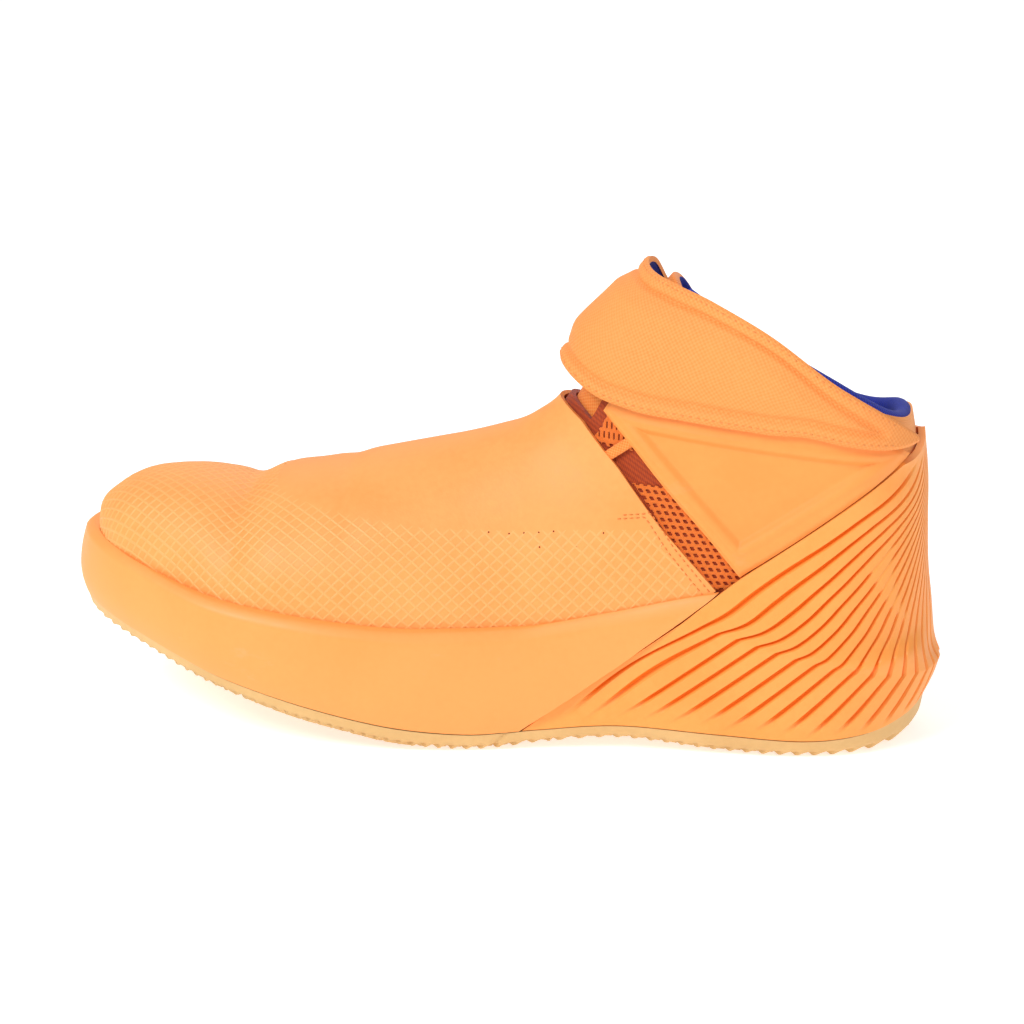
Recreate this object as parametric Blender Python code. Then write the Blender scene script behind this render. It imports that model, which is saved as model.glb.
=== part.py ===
"""Left basketball shoe: cup sole with a ribbed heel cage, hollow bootie, forefoot shroud and ankle strap.

Millimetres inside the functions, metres in the meshes. Station s runs from the heel's back (0) to the toe,
+X points to the toe, +Y to the outer (lateral) side, +Z up, and the sole stands on z = 0.
"""

import math
from collections import namedtuple
from functools import lru_cache

import bmesh
import bpy
import numpy as np

MM = 0.001

# Driving sizes, in millimetres
LENGTH = 305.0
GAP = 0.35                 # between pieces that lie on each other
BOOTIE_WALL = 1.9
COLLAR_PAD = 5.5           # wall of the padded collar
SHROUD_WALL = 1.6
QUARTER_WALL = 2.0
QUARTER_LIFT = 0.95        # of the quarters' inner face over the last
PATCH_WALL = 1.2
STRAP_WALL = 2.6
TONGUE_WALL = 4.0
RIB_DEPTH = 1.5
RIBS_PER_SIDE = 14
INSOLE_WALL = 4.0
LACE_DIAMETER = 3.6
LACE_SIDES = 6
LACE_LIFT = 0.4            # of the lace's middle line over the last, in the throat
RIM_INSET = 3.2            # rim of the cup sole, in from its widest line
BULGE = 0.46               # height of the cup sole's widest line, as a share of its wall
COLLAR_DIP = 1.3           # rows by which the collar lies lower on the medial side

# Sections of the last, from the toe tip back to the heel and up to the collar. Each lies in a plane
# through a point of the sole line or heel curve (base) and a point of the instep line (ridge).
Section = namedtuple(
    "Section", "base_s base_z ridge_s ridge_z centre lean lateral medial widest floor crown sole_s"
)
LAST = [
    Section(295.0, 46.0, 295.0, 64.0, -9.0, 0.0, 0.0, 0.0, 0.40, 0.80, 2.4, 305.0),
    Section(293.5, 45.0, 293.5, 66.5, -8.6, 0.0, 10.5, 11.5, 0.40, 0.80, 2.4, 300.5),
    Section(290.0, 43.5, 290.5, 69.0, -8.2, 0.0, 17.0, 17.5, 0.38, 0.80, 2.4, 295.0),
    Section(284.5, 40.5, 285.0, 72.8, -7.4, 0.0, 23.0, 23.5, 0.36, 0.82, 2.4, 287.5),
    Section(275.5, 37.0, 276.0, 76.3, -6.2, 0.0, 28.0, 29.0, 0.34, 0.84, 2.3, 278.0),
    Section(260.0, 32.5, 260.5, 77.8, -4.0, -1.0, 35.0, 36.0, 0.32, 0.86, 2.2, 261.5),
    Section(240.0, 27.5, 240.5, 77.4, -1.0, -2.0, 42.0, 41.0, 0.32, 0.86, 2.1, 240.5),
    Section(215.0, 23.0, 218.5, 83.2, 1.0, -3.0, 44.5, 43.0, 0.32, 0.86, 2.0, 216.0),
    Section(188.0, 20.5, 197.0, 88.7, 1.5, -4.0, 43.5, 39.5, 0.31, 0.86, 1.9, 189.0),
    Section(160.0, 20.0, 177.0, 93.5, 1.0, -4.0, 40.0, 35.5, 0.30, 0.86, 1.85, 160.0),
    Section(130.0, 21.0, 159.0, 97.7, 0.5, -3.5, 36.5, 33.0, 0.29, 0.87, 1.85, 131.0),
    Section(98.0, 23.0, 146.0, 101.5, 0.0, -3.0, 35.0, 33.0, 0.28, 0.88, 1.85, 100.0),
    Section(64.0, 25.0, 138.5, 106.0, 0.0, -2.5, 34.5, 33.5, 0.28, 0.88, 1.85, 66.0),
    Section(36.0, 27.0, 134.0, 109.5, 0.0, -2.0, 34.5, 33.5, 0.28, 0.88, 1.9, 36.0),
    Section(19.0, 29.5, 131.0, 113.0, 0.0, -1.5, 34.5, 33.5, 0.29, 0.62, 1.9, 14.0),
    Section(12.0, 36.0, 128.0, 118.0, 0.0, -1.0, 34.5, 34.0, 0.30, 0.0, 1.9, 0.0),
    Section(9.8, 47.0, 123.5, 126.0, 0.0, -1.0, 34.0, 33.5, 0.30, 0.0, 1.95, 0.0),
    Section(9.5, 63.0, 118.0, 135.0, 0.0, -1.0, 33.0, 33.0, 0.30, 0.0, 2.0, 0.0),
    Section(10.3, 81.0, 112.0, 143.5, 0.0, -1.0, 32.0, 32.0, 0.30, 0.0, 2.0, 0.0),
    Section(11.3, 98.0, 106.0, 151.5, 0.0, -1.0, 31.5, 31.5, 0.31, 0.0, 2.0, 0.0),
    Section(14.0, 114.0, 100.0, 158.5, 0.0, -1.0, 31.0, 31.0, 0.32, 0.0, 2.0, 0.0),
    Section(17.0, 124.0, 95.0, 166.0, 0.0, -1.0, 31.0, 31.0, 0.32, 0.0, 2.0, 0.0),
]
HEEL_ROW = 15              # first section that closes round the heel
COLLAR_ROW = 20            # section at the collar's edge
LOWER_EXPONENT = 2.2
UPPER_SHARE = 0.6          # share of a half ring's parameter above its widest point

# The sole, station by station: widest outline, lower edge of each side, middle of the tread, top of the
# outsole and rim of the cup sole. The tread is flat under the heel and under the ball.
Station = namedtuple("Station", "s lateral medial edge_lateral edge_medial tread top rim")
SOLE = [
    Station(0.0, 0.0, 0.0, 2.5, 2.5, 2.5, 17.0, 60.0),
    Station(3.5, 16.0, -16.0, 2.2, 2.2, 2.2, 15.5, 60.0),
    Station(12.0, 28.0, -27.5, 1.5, 1.5, 1.2, 11.5, 60.0),
    Station(25.0, 36.5, -36.0, 0.6, 0.6, 0.2, 8.0, 60.0),
    Station(45.0, 41.5, -40.5, 0.3, 0.4, 0.0, 6.5, 60.0),
    Station(75.0, 42.8, -41.0, 1.6, 3.2, 0.0, 8.0, 58.0),
    Station(108.0, 43.0, -40.5, 4.2, 6.5, 3.0, 9.5, 50.0),
    Station(135.0, 45.5, -40.3, 2.4, 4.0, 1.2, 7.5, 44.5),
    Station(145.0, 47.2, -41.0, 1.2, 2.0, 0.0, 6.7, 43.6),
    Station(160.0, 50.0, -42.8, 0.6, 0.8, 0.0, 6.2, 43.0),
    Station(181.0, 53.5, -46.5, 2.6, 2.6, 0.3, 8.5, 43.0),
    Station(201.0, 55.0, -49.8, 7.0, 6.5, 4.5, 12.5, 44.5),
    Station(222.0, 54.2, -51.6, 12.0, 11.5, 9.0, 17.5, 46.5),
    Station(243.0, 49.8, -51.4, 17.5, 17.0, 14.5, 22.5, 48.5),
    Station(259.0, 42.8, -49.0, 21.5, 21.5, 18.5, 27.0, 51.0),
    Station(277.0, 31.0, -43.0, 26.0, 26.0, 22.5, 31.0, 55.0),
    Station(287.0, 23.5, -38.5, 28.0, 28.0, 24.5, 33.5, 57.5),
    Station(295.0, 15.0, -32.5, 29.0, 29.0, 26.5, 35.0, 59.5),
    Station(301.5, 4.5, -23.0, 29.5, 29.5, 28.0, 36.0, 61.0),
    Station(305.0, -9.0, -9.0, 30.0, 30.0, 29.0, 36.5, 61.5),
]

# Lines of the side view, as (station, height)
CAGE_EDGE = [(140.0, 7.6), (107.0, 32.5), (68.0, 63.5), (44.0, 81.5), (20.0, 100.5), (14.0, 107.0)]
SHROUD_EDGE = [(76.0, 58.5), (89.0, 73.0), (101.0, 89.0), (114.0, 102.5), (131.0, 113.0)]
CAGE_CREASE = [(0.0, 27.0), (12.0, 28.5), (25.0, 31.0), (45.0, 36.0), (72.0, 44.5), (88.0, 47.6)]
TOE_WRAP = [
    (189.0, 0.0), (202.5, 12.6), (216.0, 20.5), (226.0, 29.0), (236.0, 39.0), (247.0, 51.0), (306.0, 70.0),
]


def spline(values, index):
    """Catmull-Rom value of a list of rows at a fractional row index."""
    rows = values if isinstance(values, np.ndarray) else np.array(values, float)
    last = len(rows) - 1
    index = min(max(index, 0.0), float(last))
    i = min(int(index), last - 1)
    u = index - i
    p1, p2 = rows[i], rows[i + 1]
    p0 = rows[i - 1] if i > 0 else 2 * p1 - p2
    p3 = rows[i + 2] if i + 2 <= last else 2 * p2 - p1
    return 0.5 * (
        2 * p1 + (p2 - p0) * u + (2 * p0 - 5 * p1 + 4 * p2 - p3) * u**2 + (3 * p1 - p0 - 3 * p2 + p3) * u**3
    )


def along(line, s):
    """Height of a side-view line at station s."""
    points = sorted(line)
    return float(np.interp(s, [p[0] for p in points], [p[1] for p in points]))


AHEAD_OF_TOE = LAST[1]._replace(lateral=-LAST[1].lateral, medial=-LAST[1].medial)
LAST_TABLE = np.array([AHEAD_OF_TOE] + LAST, float)
BEHIND_HEEL = SOLE[1]._replace(lateral=SOLE[1].medial, medial=SOLE[1].lateral)
PAST_TOE = SOLE[-2]._replace(lateral=SOLE[-2].medial, medial=SOLE[-2].lateral)
SOLE_TABLE = np.array([BEHIND_HEEL] + SOLE + [PAST_TOE], float)
MIDDLE_Y = (max(row.lateral for row in SOLE) + min(row.medial for row in SOLE)) / 2


@lru_cache(maxsize=None)
def section(row):
    """The last's section at a fractional row; mirrored ahead of the toe, so its tip is round."""
    return Section(*spline(LAST_TABLE, row + 1.0).tolist())


def ring_shape(sec, a):
    """(height share v, width share w) of a half ring: a is 0 at the ridge and 1 at the base."""
    if a <= UPPER_SHARE:
        turn = a / UPPER_SHARE * math.pi / 2
        v = sec.widest + (1 - sec.widest) * max(math.cos(turn), 0.0) ** (2 / sec.crown)
        return v, math.sin(turn) ** (2 / sec.crown)
    turn = (a - UPPER_SHARE) / (1 - UPPER_SHARE) * math.pi / 2
    v = sec.widest - sec.widest * math.sin(turn) ** (2 / LOWER_EXPONENT)
    return v, sec.floor + (1 - sec.floor) * max(math.cos(turn), 0.0) ** (2 / LOWER_EXPONENT)


def ring_parameter(sec, v):
    """The a of a half ring at height share v."""
    if v >= sec.widest:
        turn = math.acos(min(((v - sec.widest) / (1 - sec.widest)), 1.0) ** (sec.crown / 2))
        return UPPER_SHARE * turn / (math.pi / 2)
    turn = math.asin(min((sec.widest - v) / sec.widest, 1.0) ** (LOWER_EXPONENT / 2))
    return UPPER_SHARE + (1 - UPPER_SHARE) * turn / (math.pi / 2)


def on_last(row, a):
    """Point of the last: a from -1 (lateral base) over 0 (ridge) to 1 (medial base)."""
    sec = section(row)
    v, w = ring_shape(sec, abs(a))
    half = sec.lateral if a < 0 else -sec.medial
    return np.array([
        sec.base_s + (sec.ridge_s - sec.base_s) * v,
        sec.centre + sec.lean * max(v, 0.0) ** 2 + half * w,
        sec.base_z + (sec.ridge_z - sec.base_z) * v,
    ])


def skin(row, a, out=0.0):
    """Point at a distance out from the last's surface, along its normal."""
    point = on_last(row, a)
    if out == 0.0:
        return point
    step_row, step_a = 0.02, 0.004
    low, high = max(row - step_row, 0.0), min(row + step_row, len(LAST) - 1.0)
    left, right = max(a - step_a, -1.0), min(a + step_a, 1.0)
    if a == 0.0:
        left, right = -step_a, step_a
    elif a < 0.0:
        right = min(right, 0.0)
    else:
        left = max(left, 0.0)
    normal = np.cross(on_last(high, a) - on_last(low, a), on_last(row, right) - on_last(row, left))
    if row == 0.0:
        normal = np.array([1.0, 0.0, 0.0])
    elif abs(a) == 1.0 and section(row).floor < 0.02:
        normal[1] = 0.0
    return point + normal / np.linalg.norm(normal) * out


@lru_cache(maxsize=None)
def locate(s, z):
    """(row, a) of the last's lateral half at a side-view point behind the ball."""
    def beside(row):
        sec = section(row)
        return (s - sec.base_s) * (sec.ridge_z - sec.base_z) - (z - sec.base_z) * (sec.ridge_s - sec.base_s)

    low, high = 6.0, len(LAST) - 1.0
    for _ in range(40):
        middle = (low + high) / 2
        if beside(middle) < 0:
            low = middle
        else:
            high = middle
    sec = section(low)
    across = np.array([sec.ridge_s - sec.base_s, sec.ridge_z - sec.base_z])
    v = np.dot(np.array([s - sec.base_s, z - sec.base_z]), across) / np.dot(across, across)
    return low, ring_parameter(sec, min(max(v, 0.0), 1.0))


@lru_cache(maxsize=None)
def sole_row(s):
    """Fractional row of the sole table at station s; the table is mirrored past both ends."""
    low, high = 1.0, float(len(SOLE))
    for _ in range(40):
        middle = (low + high) / 2
        if spline(SOLE_TABLE, middle)[0] < s:
            low = middle
        else:
            high = middle
    return low


def sole_at(s):
    return Station(*spline(SOLE_TABLE, sole_row(s)))


def sole_side(s, side, inset, z):
    """Point of the sole's side wall: side 1 is lateral, -1 medial; inset is in from the widest outline."""
    row = sole_row(s)
    here = Station(*spline(SOLE_TABLE, row))
    before, after = spline(SOLE_TABLE, row - 0.05), spline(SOLE_TABLE, row + 0.05)
    column = 1 if side > 0 else 2
    along_s, along_y = after[0] - before[0], after[column] - before[column]
    if s <= 0.01:
        along_s, along_y = 0.0, float(side)
    elif s >= LENGTH - 0.01:
        along_s, along_y = 0.0, -float(side)
    size = math.hypot(along_s, along_y)
    inward = np.array([along_y, -along_s]) * side / size
    y = here.lateral if side > 0 else here.medial
    return np.array([s + inward[0] * inset, y + inward[1] * inset, z])


def wall_inset(share):
    """Inset of the cup sole's wall at a share of its height, from the tread's edge to the rim."""
    if share < BULGE:
        return 5.5 * (1 - share / BULGE) ** 2.0
    return RIM_INSET * ((share - BULGE) / (1 - BULGE)) ** 1.8


def welded(points):
    """Index of each point among the distinct ones, and the distinct points."""
    index, found, kept = [], {}, []
    for p in points:
        key = tuple(np.round(p, 3))
        if key not in found:
            found[key] = len(kept)
            kept.append(p)
        index.append(found[key])
    return index, kept


def new_object(name, points, faces, look):
    """One closed object from points in millimetres, with its faces turned outwards."""
    index, kept = welded(points)
    mesh = bpy.data.meshes.new(name)
    build = bmesh.new()
    origin = np.array([LENGTH / 2, MIDDLE_Y, 0.0])
    verts = [build.verts.new((p - origin) * MM) for p in kept]
    used = set()
    for face in faces:
        corners = []
        for i in (index[i] for i in face):
            if i not in corners:
                corners.append(i)
        halves = [corners]
        if len(corners) == 4:
            halves = [corners[:3], [corners[0], corners[2], corners[3]]]
        for half in halves:
            key = frozenset(half)
            if len(half) > 2 and key not in used:
                used.add(key)
                build.faces.new([verts[i] for i in half])
    bmesh.ops.delete(build, geom=[v for v in build.verts if not v.link_faces], context="VERTS")
    bmesh.ops.recalc_face_normals(build, faces=build.faces)
    build.to_mesh(mesh)
    build.free()
    mesh.shade_smooth()
    mesh.set_sharp_from_angle(angle=math.radians(40))
    obj = bpy.data.objects.new(name, mesh)
    bpy.context.scene.collection.objects.link(obj)
    mesh.materials.append(look)
    return obj


def shell(name, outer, inner, look, keep=lambda i, j: True):
    """A wall between two grids of points of the same shape, closed along every free edge."""
    rows, columns = len(outer), len(outer[0])
    flat = [p for row in outer for p in row] + [p for row in inner for p in row]
    index, _ = welded(flat)
    count = rows * columns
    quads = [
        (i * columns + j, i * columns + j + 1, (i + 1) * columns + j + 1, (i + 1) * columns + j)
        for i in range(rows - 1)
        for j in range(columns - 1)
        if keep(i, j)
    ]
    edges = {}
    for quad in quads:
        for a, b in zip(quad, quad[1:] + quad[:1]):
            key = frozenset((index[a], index[b]))
            if len(key) == 2:
                edges.setdefault(key, []).append((a, b))
    faces = quads + [(a + count, d + count, c + count, b + count) for a, b, c, d in quads]
    faces += [(b, a, a + count, b + count) for found in edges.values() if len(found) == 1 for a, b in found]
    return new_object(name, flat, faces, look)


def cap_faces(points, split):
    """Triangles of an end face, between its first points and the others taken backwards."""
    near, far = points[:split], points[split:][::-1]
    faces, i, j = [], 0, 0
    while i < len(near) - 1 or j < len(far) - 1:
        if j == len(far) - 1 or i < len(near) - 1 and (i + 1) * (len(far) - 1) <= (j + 1) * (len(near) - 1):
            faces.append((near[i], near[i + 1], far[j]))
            i += 1
        else:
            faces.append((near[i], far[j + 1], far[j]))
            j += 1
    return faces


def loft_faces(rings, first=0, split=0):
    """Faces between closed rings, numbered from first; split tells where an end face folds."""
    columns = len(rings[0])
    faces = []
    for i in range(len(rings) - 1):
        for j in range(columns):
            k = (j + 1) % columns
            low, high = first + i * columns, first + (i + 1) * columns
            faces.append((low + j, low + k, high + k, high + j))
    if split:
        end = first + (len(rings) - 1) * columns
        faces += cap_faces(list(range(first, first + columns)), split)
        faces += cap_faces(list(range(end, end + columns)), split)
    return faces


def loft(name, rings, look, split=0):
    """A solid through closed rings; ends that don't fold flat onto themselves get end faces."""
    return new_object(name, [p for ring in rings for p in ring], loft_faces(rings, 0, split), look)


def cut(obj, cutter):
    """Takes a hidden cutter out of an object."""
    cutter.hide_render = True
    cutter.display_type = "WIRE"
    modifier = obj.modifiers.new("cut_" + cutter.name, "BOOLEAN")
    modifier.operation = "DIFFERENCE"
    modifier.solver = "EXACT"
    modifier.object = cutter


def tidy_cuts(obj):
    """Joins the points that cuts have left within a hair of each other."""
    modifier = obj.modifiers.new("join_close_points", "WELD")
    modifier.merge_threshold = 0.00006


def material(name, colour, roughness):
    made = bpy.data.materials.new(name)
    made.use_nodes = True
    shader = made.node_tree.nodes["Principled BSDF"]
    shader.inputs["Base Color"].default_value = (*colour, 1.0)
    shader.inputs["Roughness"].default_value = roughness
    shader.inputs["Metallic"].default_value = 0.0
    return made


def ring_columns(count):
    """Ring parameters from the lateral base over the ridge to the medial base."""
    return [-1.0 + 2.0 * j / count for j in range(count + 1)]


def split_rows(first, last, doubled):
    """Row numbers from first to last, with a half row after each row in doubled."""
    rows = []
    for row in range(first, last + 1):
        rows.append(float(row))
        if row in doubled and row < last:
            rows.append(row + 0.5)
    return rows


BOOTIE_COLUMNS = 24
THROAT_COLUMNS = 2         # columns left open each side of the ridge
THROAT_ROW = 14.5
FOOT_ROWS = split_rows(0, COLLAR_ROW, {6, 7, 8, 9, 10, 11, 12, 13})


def bootie_wall(row, a):
    """Wall of the bootie: thin on the foot and at the throat, padded round the ankle."""
    up = min(max((row - 16.5) / 2.0, 0.0), 1.0)
    back = min(max((abs(a) - 0.42) / 0.16, 0.0), 1.0)
    return BOOTIE_WALL + (COLLAR_PAD - BOOTIE_WALL) * up * back


def soft_step(share):
    """Smooth rise from 0 to 1."""
    share = min(max(share, 0.0), 1.0)
    return share * share * (3 - 2 * share)


def dipped(row, a):
    """Row of the bootie at a ring parameter: towards the collar its rows dip on the medial side."""
    dip = soft_step(a / 0.3) * soft_step((1 - a) / 0.45)
    return row - COLLAR_DIP * dip * min(max((row - 16.0) / 4.0, 0.0), 1.0)


def make_bootie(look):
    columns = ring_columns(BOOTIE_COLUMNS)
    outer = [[skin(dipped(row, a), a) for a in columns] for row in FOOT_ROWS]
    inner = [[skin(dipped(row, a), a, -bootie_wall(row, a)) for a in columns] for row in FOOT_ROWS]
    middle = BOOTIE_COLUMNS // 2

    def keep(i, j):
        return FOOT_ROWS[i] < THROAT_ROW or not middle - THROAT_COLUMNS <= j < middle + THROAT_COLUMNS

    return shell("bootie", outer, inner, look, keep)


def make_tongue(look):
    columns = [a for a in ring_columns(BOOTIE_COLUMNS) if abs(a) < 0.35]
    rows = [row for row in FOOT_ROWS if row >= 12.0] + [COLLAR_ROW + 0.35]
    depth = BOOTIE_WALL + GAP
    outer = [[skin(row, a, -depth - 0.2 * (row - 12.0) / 8.0) for a in columns] for row in rows]
    inner = [[skin(row, a, -depth - TONGUE_WALL) for a in columns] for row in rows]
    return shell("tongue", outer, inner, look)


def shroud_low(row):
    """Ring parameter of the shroud's lower edge: deep in the cup, and just above the cage behind it."""
    deep = 1.0 - 4.0 / BOOTIE_COLUMNS
    sec = section(row)
    shares = np.linspace(0.0, 0.8, 161)
    for v in shares:
        s = sec.base_s + (sec.ridge_s - sec.base_s) * v
        z = sec.base_z + (sec.ridge_z - sec.base_z) * v
        if z > along(CAGE_EDGE, s) + 1.6:
            return min(deep, ring_parameter(sec, v))
    return deep


def shroud_end(share):
    """Row of the shroud's rear edge at a share of the way from its lower corner up to the ridge."""
    corner, ridge = SHROUD_EDGE[0], SHROUD_EDGE[-1]
    s = corner[0] + (ridge[0] - corner[0]) * share
    return locate(s, along(SHROUD_EDGE, s) - 1.0)[0]


def make_shroud(look):
    half = BOOTIE_COLUMNS // 2 - 2
    fixed = [row for row in FOOT_ROWS if row <= 11.0]
    outer, inner = [], []
    for step in range(len(fixed) + 5):
        outer_row, inner_row = [], []
        for j in range(-half, half + 1):
            up = 1.0 - abs(j) / half
            row = fixed[min(step, len(fixed) - 1)]
            if step >= len(fixed):
                row = 11.0 + (shroud_end(up) - 11.0) * (step - len(fixed) + 1) / 5.0
            a = shroud_low(row) * j / half
            lift = GAP * (1.0 + 1.6 * min(max(row - 9.5, 0.0), 1.0))
            outer_row.append(skin(row, a, lift + SHROUD_WALL))
            inner_row.append(skin(row, a, lift))
        outer.append(outer_row)
        inner.append(inner_row)
    return shell("vamp_shroud", outer, inner, look)


def feather(row, side):
    """Lower edge of the bootie on one side."""
    return skin(row, -side)


def tread_height(s):
    """Height of the tread, with nothing below the ground."""
    return max(sole_at(s).tread, 0.0)


def outsole_top(s):
    """Height of the outsole's upper face."""
    return sole_at(min(max(s, 0.0), LENGTH)).top


def foot_room(name, clear):
    """A cutter as large as the bootie: clear gives its distance from the last at a ring parameter."""
    columns = ring_columns(BOOTIE_COLUMNS)
    rings = [[skin(row, a, clear(abs(a))) for a in columns] for row in FOOT_ROWS]
    flat = [p for ring in rings for p in ring]
    count = len(columns)
    faces = loft_faces(rings) + [tuple(range(len(flat) - count, len(flat)))]
    return new_object(name, flat, faces, bpy.data.materials["cutter"])


def cup_clear(a):
    """Room for the shroud as well, down to its lower edge."""
    low, deep = 1.0 - 3.5 / BOOTIE_COLUMNS, 1.0 - 2.0 / BOOTIE_COLUMNS
    return float(np.interp(a, [low, deep, 1.0], [CUP_CLEAR, 1.0, GAP]))


CUP_ROWS = split_rows(0, HEEL_ROW, {6, 7, 8, 9, 10, 11, 12, 13, 14})
WALL_END = 13.0            # last row with a cup wall; behind it only the plate goes on
CUP_CLEAR = 3.4 * GAP + SHROUD_WALL


def plate_edge(row, side):
    """Lower and upper edge of the cup sole's plate, which lies under the foot, on one side."""
    sec, foot = section(row), feather(row, side)
    y = sec.centre + (foot[1] - sec.centre) * 0.97
    station = max(foot[0], LAST[HEEL_ROW].base_s + 0.6)
    return np.array([station, y, outsole_top(station) + GAP]), np.array([station, y, foot[2] - 1.4 * GAP])


def cup_wall(row, side):
    """Outside of the cup sole at one row, from the outsole up to the rim."""
    sec = section(row)
    share = 0.4
    for _ in range(8):
        rim_z = sole_at(sec.base_s + (sec.ridge_s - sec.base_s) * share).rim
        share = (rim_z - sec.base_z) / (sec.ridge_z - sec.base_z)
    lean = (sec.ridge_s - sec.base_s) * share
    low_z = outsole_top(sec.sole_s) + GAP
    points = []
    for up in (0.0, 0.25, 0.5, 0.75, 1.0):
        z = low_z + (rim_z - low_z) * up
        s = min(max(sec.sole_s + lean * up, 0.0), LENGTH)
        edge_z = sole_at(s).edge_lateral if side > 0 else sole_at(s).edge_medial
        point = sole_side(s, side, wall_inset((z - edge_z) / (rim_z - edge_z)), z)
        if up == 0.0:
            point[2] = outsole_top(point[0]) + GAP
        points.append(point)
    return points, np.array([sec.base_s + lean, sec.centre, rim_z])


def cup_ring(row, walled):
    """Ring round the cup sole at one row: filled up to the rim, or only the plate under the foot."""
    ring = []
    for side in (1, -1):
        low, high = plate_edge(row, side)
        middle = section(row).centre
        half = [np.array([low[0], middle, low[2]]), low]
        if walled:
            wall, top = cup_wall(row, side)
            half += wall + [top]
        else:
            half += [high, np.array([high[0], middle, high[2]])]
        ring += half if side > 0 else half[-2:0:-1]
    return ring


def make_midsole(look):
    """Filled cup, joined behind to the plate, with the rooms of foot, cage and toe wrap taken out."""
    front = [cup_ring(row, True) for row in CUP_ROWS if row <= WALL_END]
    rear = [cup_ring(row, False) for row in CUP_ROWS if row >= WALL_END]
    points = [p for ring in front + rear for p in ring]
    columns, first = len(front[0]), len(front) * len(front[0])
    end, top = first - columns, columns // 2
    faces = loft_faces(front) + loft_faces(rear, first)
    faces.append((*range(end + 1, end + top + 1), first + 3, first + 2))
    faces.append((*range(end + top, end + columns), first + 4, first + 3))
    midsole = new_object("midsole", points, faces, look)
    cut(midsole, bpy.data.objects["cup_room"])
    cut(midsole, cage_cutter())
    cut(midsole, wrap_cutter())
    tidy_cuts(midsole)
    return midsole


def wedge_ring(name, columns):
    """A cutter of upright strips: each column has an inner and an outer point with a top height each."""
    floor = -20.0
    rings = []
    for inner, inner_top, outer, outer_top in columns:
        rings.append([
            np.array([inner[0], inner[1], floor]),
            np.array([inner[0], inner[1], inner_top]),
            np.array([outer[0], outer[1], outer_top]),
            np.array([outer[0], outer[1], floor]),
        ])
    return loft(name, rings, bpy.data.materials["cutter"], split=2)


CUTTER_REACH = -14.0       # cutters reach this far outside the sole


def cage_cutter():
    """The room that the heel cage takes out of the cup sole."""
    rows = [row for row in CUP_ROWS if row >= 9.5]
    stops = [(row, 1) for row in rows] + [(row, -1) for row in reversed(rows[:-1])]
    columns = []
    for row, side in stops:
        inner = feather(row, side)
        outer = sole_side(section(row).sole_s, side, CUTTER_REACH, 0.0)
        columns.append((
            inner, along_slope(inner[0]) + 3 * GAP,
            outer, along_slope(outer[0]) + 3 * GAP,
        ))
    return wedge_ring("cage_room", columns)


def along_slope(s):
    """Height of the cage's front edge, carried on as a straight slope below its foot."""
    (foot_s, foot_z), (next_s, next_z) = CAGE_EDGE[0], CAGE_EDGE[1]
    if s > foot_s:
        return foot_z + (foot_s - s) * (next_z - foot_z) / (foot_s - next_s)
    return along(CAGE_EDGE, s)


def wrap_top(s):
    """Top of the outsole's wall where it wraps up over the medial side of the toe."""
    return min(along(TOE_WRAP, s), sole_at(s).rim)


WRAP_ROWS = [row for row in CUP_ROWS if row <= 8.5]
WRAP_SEAM = 1.0            # row where the wrap ends beside the toe tip


def wrap_cutter():
    """The room that the outsole's medial toe wrap takes out of the cup sole."""
    columns = []
    for row in [WRAP_SEAM - 0.15] + [row for row in WRAP_ROWS if row >= WRAP_SEAM]:
        sec = section(row)
        inner = feather(row, -1)
        outer = sole_side(sec.sole_s, -1, CUTTER_REACH, 0.0)
        top = along(TOE_WRAP, sec.sole_s) + 1.5 * GAP
        columns.append((inner, top, outer, top))
    return wedge_ring("toe_wrap_room", columns)


REAR_STATIONS = [118.0, 105.0, 90.0, 75.0, 60.0, 45.0, 32.0, 21.0, 13.0, 7.0, 3.0, 1.0, 0.0]


def outsole_half(s, side, row=None):
    """Half section of the outsole, from the middle of its tread round its side to the middle of its top."""
    here = sole_at(s)
    edge = here.edge_lateral if side > 0 else here.edge_medial
    heel = min(max((60.0 - s) / 60.0, 0.0), 1.0)
    ball = min(max((s - 110.0) / 40.0, 0.0), 1.0)
    foot_inset = 6.0 + 2.5 * heel - 1.8 * ball
    centre_s = float(np.interp(s, [0.0, 48.0, 262.0, LENGTH], [30.0, 48.0, 262.0, 284.0]))
    middle = sole_at(centre_s)
    centre = np.array([centre_s, (middle.lateral + middle.medial) / 2, 0.0])
    pad = sole_side(s, side, foot_inset + 6.0, 0.0)
    pad[2] = tread_height(s)
    points = [centre + np.array([0.0, 0.0, tread_height(centre_s)]), pad]
    points.append(sole_side(s, side, foot_inset, edge))
    points.append(sole_side(s, side, foot_inset * 0.7, edge + (here.top - edge) * 0.3))
    wrapped = row is not None and side < 0 and row >= WRAP_SEAM and wrap_top(s) > here.top + 0.5
    high = wrap_top(s) if wrapped else here.top
    for share in (0.0, 0.5, 1.0):
        z = here.top + (high - here.top) * share
        inset = wall_inset((z - edge) / (here.rim - edge)) if s > 100.0 else foot_inset * 0.5
        inset = inset + 0.8 * share if not wrapped else inset
        points.append(sole_side(s, side, inset, z))
    if not wrapped:
        for point in points[-3:]:
            point[2] = outsole_top(point[0])
    edge_point = points[-1]
    if row is not None:
        turn = min(row, 1.0)
        low = feather(row, side) + np.array([2 * GAP * (1 - turn), side * 2 * GAP * turn, 0.0])
        deep = low if wrapped or row < WRAP_SEAM else low + (centre - low) * 0.1
        points.append(np.array([low[0], low[1], high if wrapped else outsole_top(low[0])]))
        points.append(np.array([deep[0], deep[1], outsole_top(deep[0])]))
    else:
        for share in (0.3, 0.65):
            point = edge_point + (centre - edge_point) * share
            point[2] = outsole_top(point[0])
            points.append(point)
    points.append(centre + np.array([0.0, 0.0, middle.top]))
    return points


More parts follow.
